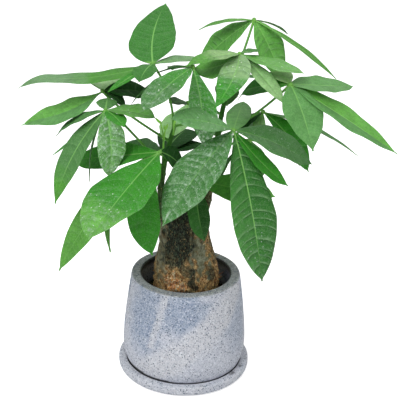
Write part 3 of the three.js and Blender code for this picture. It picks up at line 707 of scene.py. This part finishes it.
def make_flakes(material, grid, torn):
    """Curled scales of bark: each is a small leaf-like strip that leaves the trunk, rises along it and curls
    away. They stand at random where the bark is torn, and five larger ones stand on the right."""
    draw = np.random.default_rng(51)
    rows, cols = np.nonzero(torn > 0.55)
    chosen = draw.choice(len(rows), SCALE_COUNT, replace=False)
    spots = [(rows[k], cols[k], draw.uniform(*SCALE_LENGTHS), draw.uniform(*SCALE_WIDTHS)) for k in chosen]
    height = grid[:, 0, 2]
    for turn, at, length in LARGE_SCALES:
        col = int((turn % 360) / 360 * grid.shape[1])
        spots.append((int(np.searchsorted(height, at * MM)), col, length * MM, LARGE_SCALE_WIDTH))
    skins = []
    t = np.linspace(0, 1, SCALE_ROWS)[:, None, None]
    ring = circle(SCALE_SIDES)[:, None]
    full = np.ones((SCALE_ROWS, SCALE_SIDES))
    for row, col, length, width in spots:
        foot = grid[row, col]
        out = unit(np.array([foot[0], foot[1], 0.0]))
        lean = draw.uniform(-0.7, 0.7)
        curl = draw.uniform(0.5, 1.1) * length
        up = unit(SKY * draw.choice([-1, 1], p=[0.3, 0.7]) + np.cross(SKY, out) * lean)
        half = width * 0.5 * (1 - t) ** 0.7 * (0.55 + 0.45 * t)
        centre = foot - out * 0.8 * MM + up * length * t + out * (0.8 * MM * t + curl * t ** 2)
        strip = centre + np.cross(up, out) * half * np.cos(ring) + out * 0.22 * MM * np.sin(ring)
        skins.append(skin(strip, {"charred": full * 0.1, "torn": full, "bald": full * 0, "green": full * 0}))
    make_piece("bark_scales", skins, material)


# Leaves
def linear(red, green, blue):
    """An sRGB colour from 0 to 255 as the linear numbers that the sockets take."""
    share = np.array([red, green, blue]) / 255
    return tuple(np.where(share <= 0.04045, share / 12.92, ((share + 0.055) / 1.055) ** 2.4)) + (1.0,)


def tinted(tone, shift=(1, 1, 1)):
    """The colour of a tone, with its red, green and blue times the shift."""
    return np.array(linear(*TONES[tone])) * np.append(shift, 1)


def blade_half(along, widest, taper, foot):
    """Half width as a share of the widest: the way up to the widest place raised to one power, times the way
    down to the tip raised to another. More taper makes the tip more slender, and more foot the lower end."""
    power = np.where(along < widest, foot, taper)
    return (along / widest) ** (power * widest) * ((1 - along) / (1 - widest)) ** (power * (1 - widest))


def make_leaflet(hub, row, seed):
    """A thin blade. Its midrib is a quadratic curve from the hub to the tip, raised by arch, swung by bend
    and hung by drip towards its end. Across it the surface is a soft V, with an edge that waves, and bulges
    between sunken side veins that leave the midrib aslant: the sine of the vein count times the share along,
    less a slope times the distance across. The lower side has a raised midrib, the foot is a short stalk, and
    tail is the share of the length that the drawn-out tip takes. Marks give its colour, with tones that paint
    light and shade on some leaflets, where on it a point is, counted in veins, how wet and how veined it is,
    and the midrib, the lower side and the painted glow of light through it."""
    tip, width, arch, tone, *unlike = row
    look = {**PLAIN, **dict(*unlike)}
    draw = np.random.default_rng(seed)
    width = width * MM
    drip = look["drip"] * MM
    end = seen(tip) + SKY * drip
    length = np.linalg.norm(end - hub)
    chord = (end - hub) / length
    lift = unit(SKY - chord * chord[2])
    swing = np.cross(chord, lift)
    facing = math.radians(look["turn"]) * np.sign(swing @ FRONT)
    face = lift * math.cos(facing) + swing * math.sin(facing)
    middle = (hub + end) / 2 + 2 * MM * (arch * lift + look["bend"] * swing)
    share = np.linspace(0, 1, LONG_BLADE_ROWS if length > LONG_BLADE else BLADE_ROWS)
    along = 0.65 * share + 0.35 * (1 - np.cos(np.pi * share)) / 2
    centre, forward = arc_bezier(hub, middle, end, along)
    hang = np.clip((along - DRIP_START) / (1 - DRIP_START), 0, 1) ** 2
    centre = centre - SKY * (drip * hang)[:, None]
    normal = unit(face - forward * (forward @ face)[:, None])
    side = np.cross(forward, normal)
    along = along[:, None]

    # The outline: places across the blade from -1 to 1, its upper side and its half width at each row
    ring = circle(BLADE_SIDES)
    across = (-np.sign(np.cos(ring)) * np.abs(np.cos(ring)) ** 1.5)[None]
    upper = np.sin(ring)[None]
    reach = np.abs(across)
    right = across > 0
    tail = look["tail"]
    taper = look["taper"]
    widest = look["widest"] + look["lean"] * np.sign(across)
    blade = blade_half(np.clip(along / (1 - tail), 0, 1), widest, taper, look["foot"] or taper)
    least = np.where(along < 0.5, 1.1 * MM, 0.4 * MM + 0.7 * MM * np.clip((1 - along) / tail, 0, 1) ** 0.6)
    half = np.maximum(width / 2 * blade, least)
    out = across * half

    # The relief: a folded blade with a waved edge, bulges between its veins and a midrib below
    fold = math.radians(look["fold"])
    beat = along * draw.uniform(14, 22) + draw.uniform(0, 6) + 2.1 * right
    ragged = 1 + 0.012 * reach ** 4 * (np.sin(beat) + 0.6 * np.sin(2.3 * beat + 1))
    flutter = along * draw.uniform(14, 22) + draw.uniform(0, 6) + 2.1 * right
    wave = 0.016 * width * reach ** 2 * np.sin(along * math.pi) * np.sin(flutter)
    slope = width / length * (0.1 * reach + 0.14 * reach ** 3)
    vein = np.clip(length / VEIN_GAP, 7, 15) * (along * 1.04 - slope * half / (width / 2))
    vein = vein + 0.12 * np.sin(9 * along + 2 * across + draw.uniform(0, 6)) + 0.3 * right
    vein = vein + 0.28 * np.sin(1.7 * vein + draw.uniform(0, 6) + 2 * right)
    swell = (look["quilt"] * MM * np.abs(np.sin(np.pi * vein)) ** 0.7 * smooth(reach, 0.01, 0.25)
             * (1 - smooth(reach, 0.82, 1)) * smooth(along, 0.04, 0.2) * (1 - 0.8 * smooth(along, 0.85, 1)))
    valley = half * math.sin(fold) * (np.sqrt(across ** 2 + 0.006) - 0.077) - 0.05 * half * reach ** 3
    thick = BLADE_THICKNESS / 2 + 0.5 * MM * np.exp(-(along / 0.03) ** 2)
    rib = np.exp(-(out / (0.55 * MM)) ** 2) * (0.1 * MM + 0.6 * MM * (1 - along) ** 0.6)
    groove = np.exp(-(out / (0.7 * MM)) ** 2) * 0.2 * MM
    body = thick * np.abs(upper) ** 0.55 * np.sign(upper) - rib * (upper < 0) - groove * (upper > 0)
    grid = (centre[:, None] + side[:, None] * (out * ragged * math.cos(fold))[..., None]
            + normal[:, None] * (valley + wave + swell + body)[..., None])

    # The marks
    shift = draw.uniform(0.94, 1.06, 3)
    full = np.ones(grid.shape[:2])
    past = along + 0.03 * np.sin(40 * along) - look["change"]
    # The end tone and the left half's tone paint light and shade on some leaflets
    layers = (
        (smooth(past, -0.1, 0.1), tinted(look["end"] or tone, shift)),
        ((1 - smooth(out, -0.5 * MM, 0.5 * MM)) * bool(look["half"]), tinted(look["half"] or tone, shift)),
        (1 - smooth(along, 0.012, 0.06), tinted("hub")),
    )
    colour = tinted(tone, shift)
    for cover, tint in layers:
        cover = (cover * full)[..., None]
        colour = colour * (1 - cover) + tint * cover
    wet_start, wet_end = look["wet"]
    wet = wet_start + (wet_end - wet_start) * smooth(along, 0.4, 0.9)
    ribs = look["ribs"] * (1 - 0.9 * smooth(along, 0.55, 0.95))
    from_midrib = np.abs(out) / MM / (0.35 + 0.5 * (1 - along))
    lower = (upper < 0) * (1 - look["flipped"])
    return skin(grid, {
        "tint": colour,
        "flow": np.stack([vein * full, out / MM, full * (seed % 97)], axis=-1),
        "finish": np.stack([wet * full, look["veins"] * full, ribs * full], axis=-1),
        "place": np.stack([from_midrib, (tone == "shade") * full, lower * full], axis=-1),
        "lit": look["lit"] * full,
    })


def plain_shoot(grid, glow, end="hub", lit=0):
    """The skin of a stalk or shoot, which has no veins. Where a row glows it has the green of its end, and
    where not, stalk green."""
    full = np.ones(grid.shape[:2] + (1,))
    glow = glow[:, None, None] * full
    return skin(grid, {
        "tint": tinted("stalk") * (1 - glow) + tinted(end) * glow,
        "flow": full * (0.5, 0, 0),
        "finish": full * (0.05, 0, 0),
        "place": full * (20, 0, 0),
        # lit is a painted glow, for the light that comes through
        "lit": full * lit,
    })


def make_stalk(root, by, hub):
    """A leaf's stalk: a tube on a quadratic curve, thicker at both ends, and a small knob at the hub."""
    share = np.linspace(0, 1, 40)
    line, tangents = arc_bezier(root, by, hub, share)
    radius = STALK_RADIUS * (1 + 0.55 * np.exp(-share / 0.04) + 0.35 * smooth(share, 0.93, 1))
    knob_share = np.linspace(-1, 1, 13)
    knob_line = hub + tangents[-1] * (knob_share * HUB_RADIUS)[:, None]
    knob_radius = HUB_RADIUS * np.sqrt(np.clip(1 - knob_share ** 2, 0.01, 1)) * 0.85
    parts = (
        (line, tangents, radius, smooth(share, 0.9, 1)),
        (knob_line, np.broadcast_to(tangents[-1], (13, 3)), knob_radius, np.ones(13)),
    )
    return [plain_shoot(rings(centres, ways, radii, STALK_SIDES), glow)
            for centres, ways, radii, glow in parts]


def make_leaf(name, leaf, number, material):
    """A palmate leaf: its stalk and its leaflets, which all spread from one hub."""
    line, _ = through(STEMS[leaf["stem"]]["route"])
    root = line[int(round(leaf["at"] * (len(line) - 1)))]
    hub = seen(leaf["hub"])
    skins = make_stalk(root, seen(leaf["by"]), hub)
    skins += [make_leaflet(hub, row, 100 * number + k) for k, row in enumerate(leaf["leaflets"])]
    make_piece(f"{name}_fine", skins, material, [name])


def make_buds(material):
    """Growing tips and young shoots: thin stalks through their places, which thin to a point, and on each of
    them small narrow leaflets, spindles that taper both ways and bend to one side."""
    skins = []
    for number, (route, radius, buds) in enumerate(SHOOTS):
        line, tangents = through(route, 60)
        share = np.linspace(0, 1, len(line))
        size = radius * MM * (1 - 0.35 * share) * np.sqrt(np.clip(1 - share ** 24, 0.02, 1))
        stalk = rings(line, tangents, size, SHOOT_SIDES)
        skins.append(plain_shoot(stalk, 0.25 + 0.75 * share ** 4, "bud", SHOOT_LIT))
        draw = np.random.default_rng(71 + number)
        for _ in range(buds):
            way = unit(tangents[-1] + 0.6 * unit(draw.normal(size=3)))
            length = draw.uniform(*BUD_LENGTHS)
            bud = np.linspace(0, 1, 16)
            bend = np.cross(way, unit(draw.normal(size=3))) * length * 0.25
            centres = line[-2] + way * (bud * length)[:, None] + bend * (bud ** 2)[:, None]
            thick = BUD_THICKNESS * np.sin(np.pi * (0.06 + 0.93 * bud)) ** 0.8
            spindle = rings(centres, unit(np.gradient(centres, axis=0)), thick, SHOOT_SIDES)
            skins.append(plain_shoot(spindle, np.full(len(bud), draw.uniform(0.5, 1)), "bud", SHOOT_LIT))
    make_piece("buds", skins, material)


# Material helpers. A sum or a blend is made in the tree of the sockets it is given.
def add(tree, kind, inputs=None, **settings):
    """A node of that kind, with its settings, and each input either linked or set."""
    made = tree.nodes.new(kind)
    for key, value in settings.items():
        setattr(made, key, value)
    for key, value in (inputs or {}).items():
        if isinstance(value, bpy.types.NodeSocket):
            tree.links.new(value, made.inputs[key])
        else:
            made.inputs[key].default_value = value
    return made


def calc(operation, *values, clamp=False):
    """The result of one sum."""
    tree = next(value.id_data for value in values if isinstance(value, bpy.types.NodeSocket))
    inputs = dict(enumerate(values))
    return add(tree, "ShaderNodeMath", inputs, operation=operation, use_clamp=clamp).outputs[0]


def times(first, *others):
    """The product of all of them."""
    for other in others:
        first = calc("MULTIPLY", first, other)
    return first


def step(value, low, high, start=0.0, stop=1.0):
    """The value carried smoothly from low..high to start..stop."""
    sockets = {"Value": value, "From Min": low, "From Max": high, "To Min": start, "To Max": stop}
    return add(value.id_data, "ShaderNodeMapRange", sockets, interpolation_type="SMOOTHSTEP").outputs[0]


def blend(share, a, b):
    """Two colours mixed by a share."""
    return add(share.id_data, "ShaderNodeMix", {0: share, 6: a, 7: b}, data_type="RGBA").outputs[2]


def layered(colour, *layers):
    """A colour with layers over it. Each is its mask, the most it covers and its colour: sRGB or a socket."""
    for mask, most, over in layers:
        colour = blend(times(mask, most), colour, linear(*over) if isinstance(over, tuple) else over)
    return colour


def mark(tree, name, output="Fac"):
    """An attribute of the piece's points."""
    return add(tree, "ShaderNodeAttribute", attribute_name=name).outputs[output]


def split(vector):
    """The three numbers of a vector."""
    return add(vector.id_data, "ShaderNodeSeparateXYZ", {0: vector}).outputs


def scaled(vector, factors):
    """A vector with each of its three numbers times its own factor."""
    sockets = {0: vector, 1: factors}
    return add(vector.id_data, "ShaderNodeVectorMath", sockets, operation="MULTIPLY").outputs[0]


def own_place(tree):
    """The place on the piece, in metres."""
    return tree.nodes.new("ShaderNodeTexCoord").outputs["Object"]


def noise(place, scale, detail, roughness):
    """Fractal noise of about that many lumps a metre."""
    sockets = {"Vector": place, "Scale": scale, "Detail": detail, "Roughness": roughness}
    return add(place.id_data, "ShaderNodeTexNoise", sockets).outputs[0]


def group(name, inputs, output):
    """An empty node group with number inputs and one output. Returns it with its sockets for both."""
    tree = bpy.data.node_groups.new(name, "ShaderNodeTree")
    for key, value in inputs.items():
        socket = tree.interface.new_socket(name=key, in_out="INPUT", socket_type="NodeSocketFloat")
        socket.default_value = value
    tree.interface.new_socket(name=output, in_out="OUTPUT", socket_type="NodeSocketFloat")
    given = tree.nodes.new("NodeGroupInput").outputs[:len(inputs)]
    return tree, given, tree.nodes.new("NodeGroupOutput").inputs[0]


def use(tree, made, *values):
    """A group placed in a material, with its own values in the order of the group's inputs."""
    placed = add(tree, "ShaderNodeGroup", node_tree=made)
    for socket, value in zip(placed.inputs, values):
        socket.default_value = value
    return placed.outputs[0]


def make_mottle():
    """Cloudy patches: fractal noise of that many clouds a metre, cut softly at a level."""
    inputs = {"Scale": 60, "Level": 0.5, "Softness": 0.1, "Detail": 3}
    tree, (scale, level, softness, detail), result = group("mottle", inputs, "Patch")
    cloud = noise(own_place(tree), scale, detail, 0.6)
    cut = step(cloud, calc("SUBTRACT", level, softness), calc("ADD", level, softness))
    tree.links.new(cut, result)
    return tree


def make_specks():
    """Round specks: cells of that many a metre, of which a share hold a speck of random size."""
    tree, (scale, share, size), result = group("specks", {"Scale": 800, "Share": 0.3, "Size": 0.3}, "Speck")
    cells = add(tree, "ShaderNodeTexVoronoi", {"Vector": own_place(tree), "Scale": scale})
    draw = add(tree, "ShaderNodeSeparateColor", {0: cells.outputs["Color"]})
    chosen = calc("LESS_THAN", draw.outputs[0], share)
    size = times(size, calc("ADD", draw.outputs[1], 0.35))
    inside = step(calc("DIVIDE", cells.outputs["Distance"], size), 0.6, 1.1, 1.0, 0.0)
    tree.links.new(times(inside, chosen), result)
    return tree


def make_grain():
    """Upright grain: noise squeezed across and drawn out along the height."""
    tree, (scale, stretch), result = group("grain", {"Scale": 300, "Stretch": 0.2}, "Grain")
    drawn = add(tree, "ShaderNodeCombineXYZ", {0: 1.0, 1: 1.0, 2: stretch}).outputs[0]
    tree.links.new(noise(scaled(own_place(tree), drawn), scale, 5.0, 0.65), result)
    return tree


def new_material(name):
    """An empty material with a Principled shader on its output."""
    material = bpy.data.materials.new(name)
    material.use_nodes = True
    tree = material.node_tree
    shader = next(one for one in tree.nodes if one.type == "BSDF_PRINCIPLED")
    return material, tree, shader


def finish_surface(shader, colour, roughness, height, depth, **fixed):
    """Links the colour, the roughness and the bump to the shader, and sets its fixed sockets."""
    tree = shader.id_data
    tree.links.new(colour, shader.inputs["Base Color"])
    tree.links.new(roughness, shader.inputs["Roughness"])
    bump = add(tree, "ShaderNodeBump", {"Height": height, "Distance": depth, "Strength": 1.0})
    tree.links.new(bump.outputs[0], shader.inputs["Normal"])
    for key, value in fixed.items():
        shader.inputs[key.replace("_", " ")].default_value = value


def make_ware(mottle, specks):
    """Speckled stoneware: light grey with bluer and warmer patches, crowded fine slate and white specks, a
    greyer rim, and near black where the deep mark is: painted shade inside the pot, low on its foot and in
    the saucer under it, and the saucer's two dark stains."""
    material, tree, shader = new_material("speckled_stoneware")
    blue, warm, deep = split(mark(tree, "stone", "Vector"))
    rim = step(split(own_place(tree))[2], POT_TOP - 1.4 * MM, POT_TOP - 0.5 * MM)
    cloud = use(tree, mottle, 300, 0.5, 0.2, 4)
    dark = use(tree, specks, 590, 0.42, 0.4)
    colour = layered(
        blend(blue, linear(190, 193, 204), linear(144, 157, 180)),
        (warm, 0.8, (202, 202, 207)),
        (rim, 1, (146, 148, 150)),
        (cloud, 0.3, (222, 226, 234)),
        (use(tree, specks, 720, 0.45, 0.55), 0.5, (236, 240, 246)),
        (use(tree, specks, 800, 0.55, 0.62), calc("ADD", times(blue, 0.3), 0.42), (98, 116, 142)),
        (dark, 0.9, (56, 74, 96)),
        # deep is painted shade, and on the saucer also its stains
        (deep, 1, (24, 23, 24)),
    )
    bump = calc("SUBTRACT", cloud, times(dark, 0.7))
    finish_surface(shader, colour, step(cloud, 0, 1, 0.5, 0.68), bump, 0.12 * MM, Specular_IOR_Level=0.3)
    return material


def make_earth(mottle, specks):
    """Dark damp potting mix with paler crumbs."""
    material, tree, shader = new_material("potting_soil")
    lump = use(tree, mottle, 420, 0.5, 0.2, 5)
    crumbs = use(tree, specks, 330, 0.16, 0.5)
    colour = layered(blend(lump, linear(20, 15, 12), linear(52, 40, 30)), (crumbs, 1, (92, 70, 50)))
    finish_surface(shader, colour, step(lump, 0, 1, 0.75, 0.95), lump, 0.6 * MM)
    return material


def make_bark(mottle, grain):
    """Bark: olive brown with upright grain, charred black-green with tan flecks, which on the stems is also
    painted shade, torn to brown fibres with bright tan and rust patches, worn to a smooth grey-green, and
    green towards the stems' tops."""
    material, tree, shader = new_material("bark")
    fine = use(tree, grain, 640, 0.4)
    coarse = use(tree, grain, 230, 0.45)
    cloud = use(tree, mottle, 170, 0.5, 0.12, 4)
    crumb = use(tree, mottle, 520, 0.52, 0.06, 3)
    splinter = use(tree, mottle, 600, 0.53, 0.04, 4)
    chunk = use(tree, mottle, 230, 0.56, 0.05, 4)
    rust = use(tree, mottle, 170, 0.57, 0.06, 3)
    flecks = step(use(tree, grain, 720, 0.5), 0.6, 0.66)
    strands = step(fine, 0.44, 0.56)
    how_torn = mark(tree, "torn")
    raw = layered(
        blend(strands, linear(236, 168, 100), linear(255, 240, 200)),
        (rust, 0.62, (220, 130, 76)), (splinter, 0.6, (126, 88, 52)))
    torn = layered(
        blend(strands, linear(160, 112, 66), linear(246, 204, 142)),
        (splinter, 0.72, (86, 62, 40)), (cloud, 0.4, (150, 138, 92)), (flecks, 0.8, (255, 232, 184)),
        (chunk, 0.4, (84, 56, 36)), (step(how_torn, 0.66, 0.95), 1, raw))
    bald = layered(
        blend(cloud, linear(164, 168, 142), linear(108, 110, 84)),
        (crumb, 0.4, (100, 98, 74)), (splinter, 0.25, (156, 146, 118)))
    char_and_shade = layered(
        blend(strands, linear(22, 30, 24), linear(78, 92, 74)),
        (cloud, 0.35, (70, 58, 42)), (splinter, 0.7, (20, 22, 17)), (flecks, 0.6, (216, 186, 132)))
    colour = layered(
        blend(strands, linear(84, 78, 56), linear(160, 150, 112)),
        (cloud, 0.6, (140, 108, 72)), (splinter, 0.6, (54, 48, 36)), (flecks, 0.7, (222, 196, 146)),
        (step(how_torn, 0.05, 0.45), 1, torn), (mark(tree, "bald"), 1, bald),
        (mark(tree, "charred"), 1, char_and_shade), (step(coarse, 0.42, 0.36), 0.5, (30, 24, 17)),
        (mark(tree, "green"), 1, (66, 122, 44)))
    bump = calc("SUBTRACT", calc("ADD", fine, times(coarse, 1.2)), times(splinter, 0.35))
    finish_surface(shader, colour, step(cloud, 0, 1, 0.72, 0.9), bump, 0.9 * MM, Specular_IOR_Level=0.25)
    return material


def make_green(mottle, specks):
    """Leaf: its tint, cloudy, with a light midrib, side veins with a painted highlight on one side and
    painted shade on the other, which fade here and there, a paler lower side and a fine skin. Where it is wet
    it is greyer and glossy, with a painted sheen, pale reflected light that gathers between the side veins,
    painted glints and bright bars, and a few beads of water, painted white as highlights. A painted glow
    stands for light through the leaf."""
    material, tree, shader = new_material("leaf_green")
    flow = mark(tree, "flow", "Vector")
    wet, veins, ribs = split(mark(tree, "finish", "Vector"))
    from_midrib, dim, under = split(mark(tree, "place", "Vector"))
    cloud = use(tree, mottle, 80, 0.5, 0.22, 3)
    small = use(tree, mottle, 300, 0.52, 0.12, 4)
    pores = use(tree, mottle, 850, 0.55, 0.1, 2)
    dimples = use(tree, mottle, 640, 0.55, 0.1, 3)
    faded = use(tree, mottle, 110, 0.5, 0.14, 3)
    soaked = times(wet, calc("SUBTRACT", 1.0, under))
    lively = calc("SUBTRACT", 1.0, times(dim, 0.75))
    grainy = times(calc("ADD", times(soaked, 0.2), 0.1), lively)

    # Side veins: the share of the way from one to the next, with a painted highlight before it and painted
    # shade behind it
    beat = calc("FRACT", split(flow)[0])
    bright = step(beat, 0.74, 0.96)
    dark = step(beat, 0.42, 0.03)
    ridge = calc("MAXIMUM", step(beat, 0.88, 1.0), step(beat, 0.1, 0.0))
    plain = times(veins, calc("ADD", times(faded, 0.85), 0.15))
    midrib = times(step(from_midrib, 1.4, 0.5), calc("MAXIMUM", ribs, under))

    # Water: a painted sheen of reflected light in streaks between the veins, darker pits where it is missing,
    # painted glints, and beads of water painted white as highlights
    streak = step(noise(scaled(flow, (1.5, 0.2, 7.3)), 1.0, 4.0, 0.7), 0.42, 0.62)
    wet_and_sheen = times(calc("ADD", times(streak, 0.75), 0.25), soaked)
    between = calc("ADD", times(step(beat, 0.25, 0.8), 0.65), 0.35)
    painted_sheen = times(small, wet_and_sheen, between)
    pits = times(use(tree, mottle, 420, 0.6, 0.06, 2), wet_and_sheen)
    glints = times(use(tree, mottle, 700, 0.64, 0.05, 2), wet_and_sheen)
    beads_and_highlights = times(use(tree, specks, 520, 0.1, 0.31), step(soaked, 0.04, 0.3))
    # Painted light in the colour: the side veins' highlight and shade, and where wet the sheen, bright bars
    # between the veins, glints and the white of the beads
    colour = layered(
        mark(tree, "tint", "Color"),
        (cloud, 0.28, (38, 96, 26)), (small, 0.2, (28, 84, 22)), (pores, grainy, (176, 210, 156)),
        (dimples, 0.15, (26, 80, 22)), (times(dark, plain), 0.75, (22, 66, 22)),
        (times(bright, plain), 0.5, (150, 192, 136)), (times(under, lively), 0.35, (112, 158, 92)),
        (soaked, 0.25, (66, 116, 66)), (painted_sheen, 0.62, (192, 218, 194)),
        (times(bright, veins, wet_and_sheen), 0.55, (182, 206, 188)), (pits, 0.5, (40, 84, 44)),
        (glints, 0.35, (214, 230, 218)), (beads_and_highlights, 0.75, (232, 242, 234)), (midrib, 0.8, (146, 206, 112)))
    rough = calc("ADD", calc("SUBTRACT", 0.62, times(soaked, 0.22)), times(dim, 0.35), clamp=True)
    bump = calc("ADD", times(beads_and_highlights, 0.8), times(painted_sheen, 0.3))
    bump = calc("SUBTRACT", bump, times(ridge, veins, 1.2))
    bump = calc("ADD", bump, times(pores, 0.1))
    finish_surface(shader, colour, rough, bump, 0.25 * MM, Specular_IOR_Level=0.2, Emission_Strength=1.0,
                   Subsurface_Weight=0.1, Subsurface_Scale=1.5 * MM, Subsurface_Radius=(0.6, 1.0, 0.25),
                   Coat_Roughness=0.28)
    tree.links.new(times(soaked, 0.35), shader.inputs["Coat Weight"])
    # A painted glow: the leaf gives off its own colour where the lit mark is set, for light through it
    tree.links.new(blend(mark(tree, "lit"), (0, 0, 0, 1), colour), shader.inputs["Emission Color"])
    return material


# Camera, floor and light
def put(thing, right, up, back, place):
    """Links an object to the scene and lays it by its three directions and its place."""
    matrix = np.eye(4)
    matrix[:3] = np.stack([right, up, back, place], axis=1)
    thing.matrix_world = Matrix(matrix.tolist())
    bpy.context.scene.collection.objects.link(thing)


def make_camera():
    """The camera at the photo's viewpoint."""
    data = bpy.data.cameras.new("view")
    data.sensor_width = SENSOR_WIDTH
    data.lens = SENSOR_WIDTH * VIEW_FOCAL_PIXELS / VIEW_PIXELS
    data.clip_start = 0.01
    camera = bpy.data.objects.new("view", data)
    forward, right, up = view_axes()
    put(camera, right, up, -forward, VIEW_TARGET - forward * VIEW_DISTANCE)
    bpy.context.scene.camera = camera


def make_stage():
    """A plain white floor that also glows a little to the eye, a sky that is brighter overhead than at the
    horizon, and a large soft lamp on the upper left with two weaker ones."""
    mesh = bpy.data.meshes.new("floor")
    reach = FLOOR_REACH
    mesh.from_pydata([(-reach, -reach, 0), (reach, -reach, 0), (reach, reach, 0), (-reach, reach, 0)], [],
                     [(0, 1, 2, 3)])
    floor = bpy.data.objects.new("floor", mesh)
    material, tree, shader = new_material("white_floor")
    shader.inputs["Base Color"].default_value = (0.9, 0.9, 0.9, 1)
    shader.inputs["Roughness"].default_value = 0.9
    shader.inputs["Emission Color"].default_value = (1, 1, 1, 1)
    eye = tree.nodes.new("ShaderNodeLightPath").outputs["Is Camera Ray"]
    tree.links.new(times(eye, FLOOR_GLOW), shader.inputs["Emission Strength"])
    mesh.materials.append(material)
    bpy.context.scene.collection.objects.link(floor)
    world = bpy.data.worlds.new("sky")
    world.use_nodes = True
    sky = world.node_tree
    background = sky.nodes["Background"]
    height = split(sky.nodes.new("ShaderNodeTexCoord").outputs["Generated"])[2]
    sky.links.new(step(height, 0.1, 0.95, SKY_LOW, SKY_HIGH), background.inputs[1])
    background.inputs[0].default_value = (1, 1, 1, 1)
    bpy.context.scene.world = world
    for name, (place, width, power) in LAMPS.items():
        data = bpy.data.lights.new(name, "AREA")
        data.size = width
        data.energy = power
        back = unit(np.array(place) - LAMP_TARGET)
        sideways = unit(np.cross(SKY, back))
        put(bpy.data.objects.new(name, data), sideways, np.cross(back, sideways), back, place)


bpy.context.scene.view_settings.view_transform = "Standard"
make_camera()
make_stage()
mottle_group = make_mottle()
specks_group = make_specks()
ware = make_ware(mottle_group, specks_group)
earth = make_earth(mottle_group, specks_group)
bark = make_bark(mottle_group, make_grain())
green = make_green(mottle_group, specks_group)

make_saucer(ware)
make_pot(ware)
make_soil(earth)
make_crumbs(earth)
make_flakes(bark, *make_trunk(bark))
for stem_name, stem_table in STEMS.items():
    make_stem(stem_name, stem_table, bark)
for leaf_number, (leaf_name, leaf_table) in enumerate(LEAVES.items()):
    make_leaf(leaf_name, leaf_table, leaf_number, green)
make_buds(green)
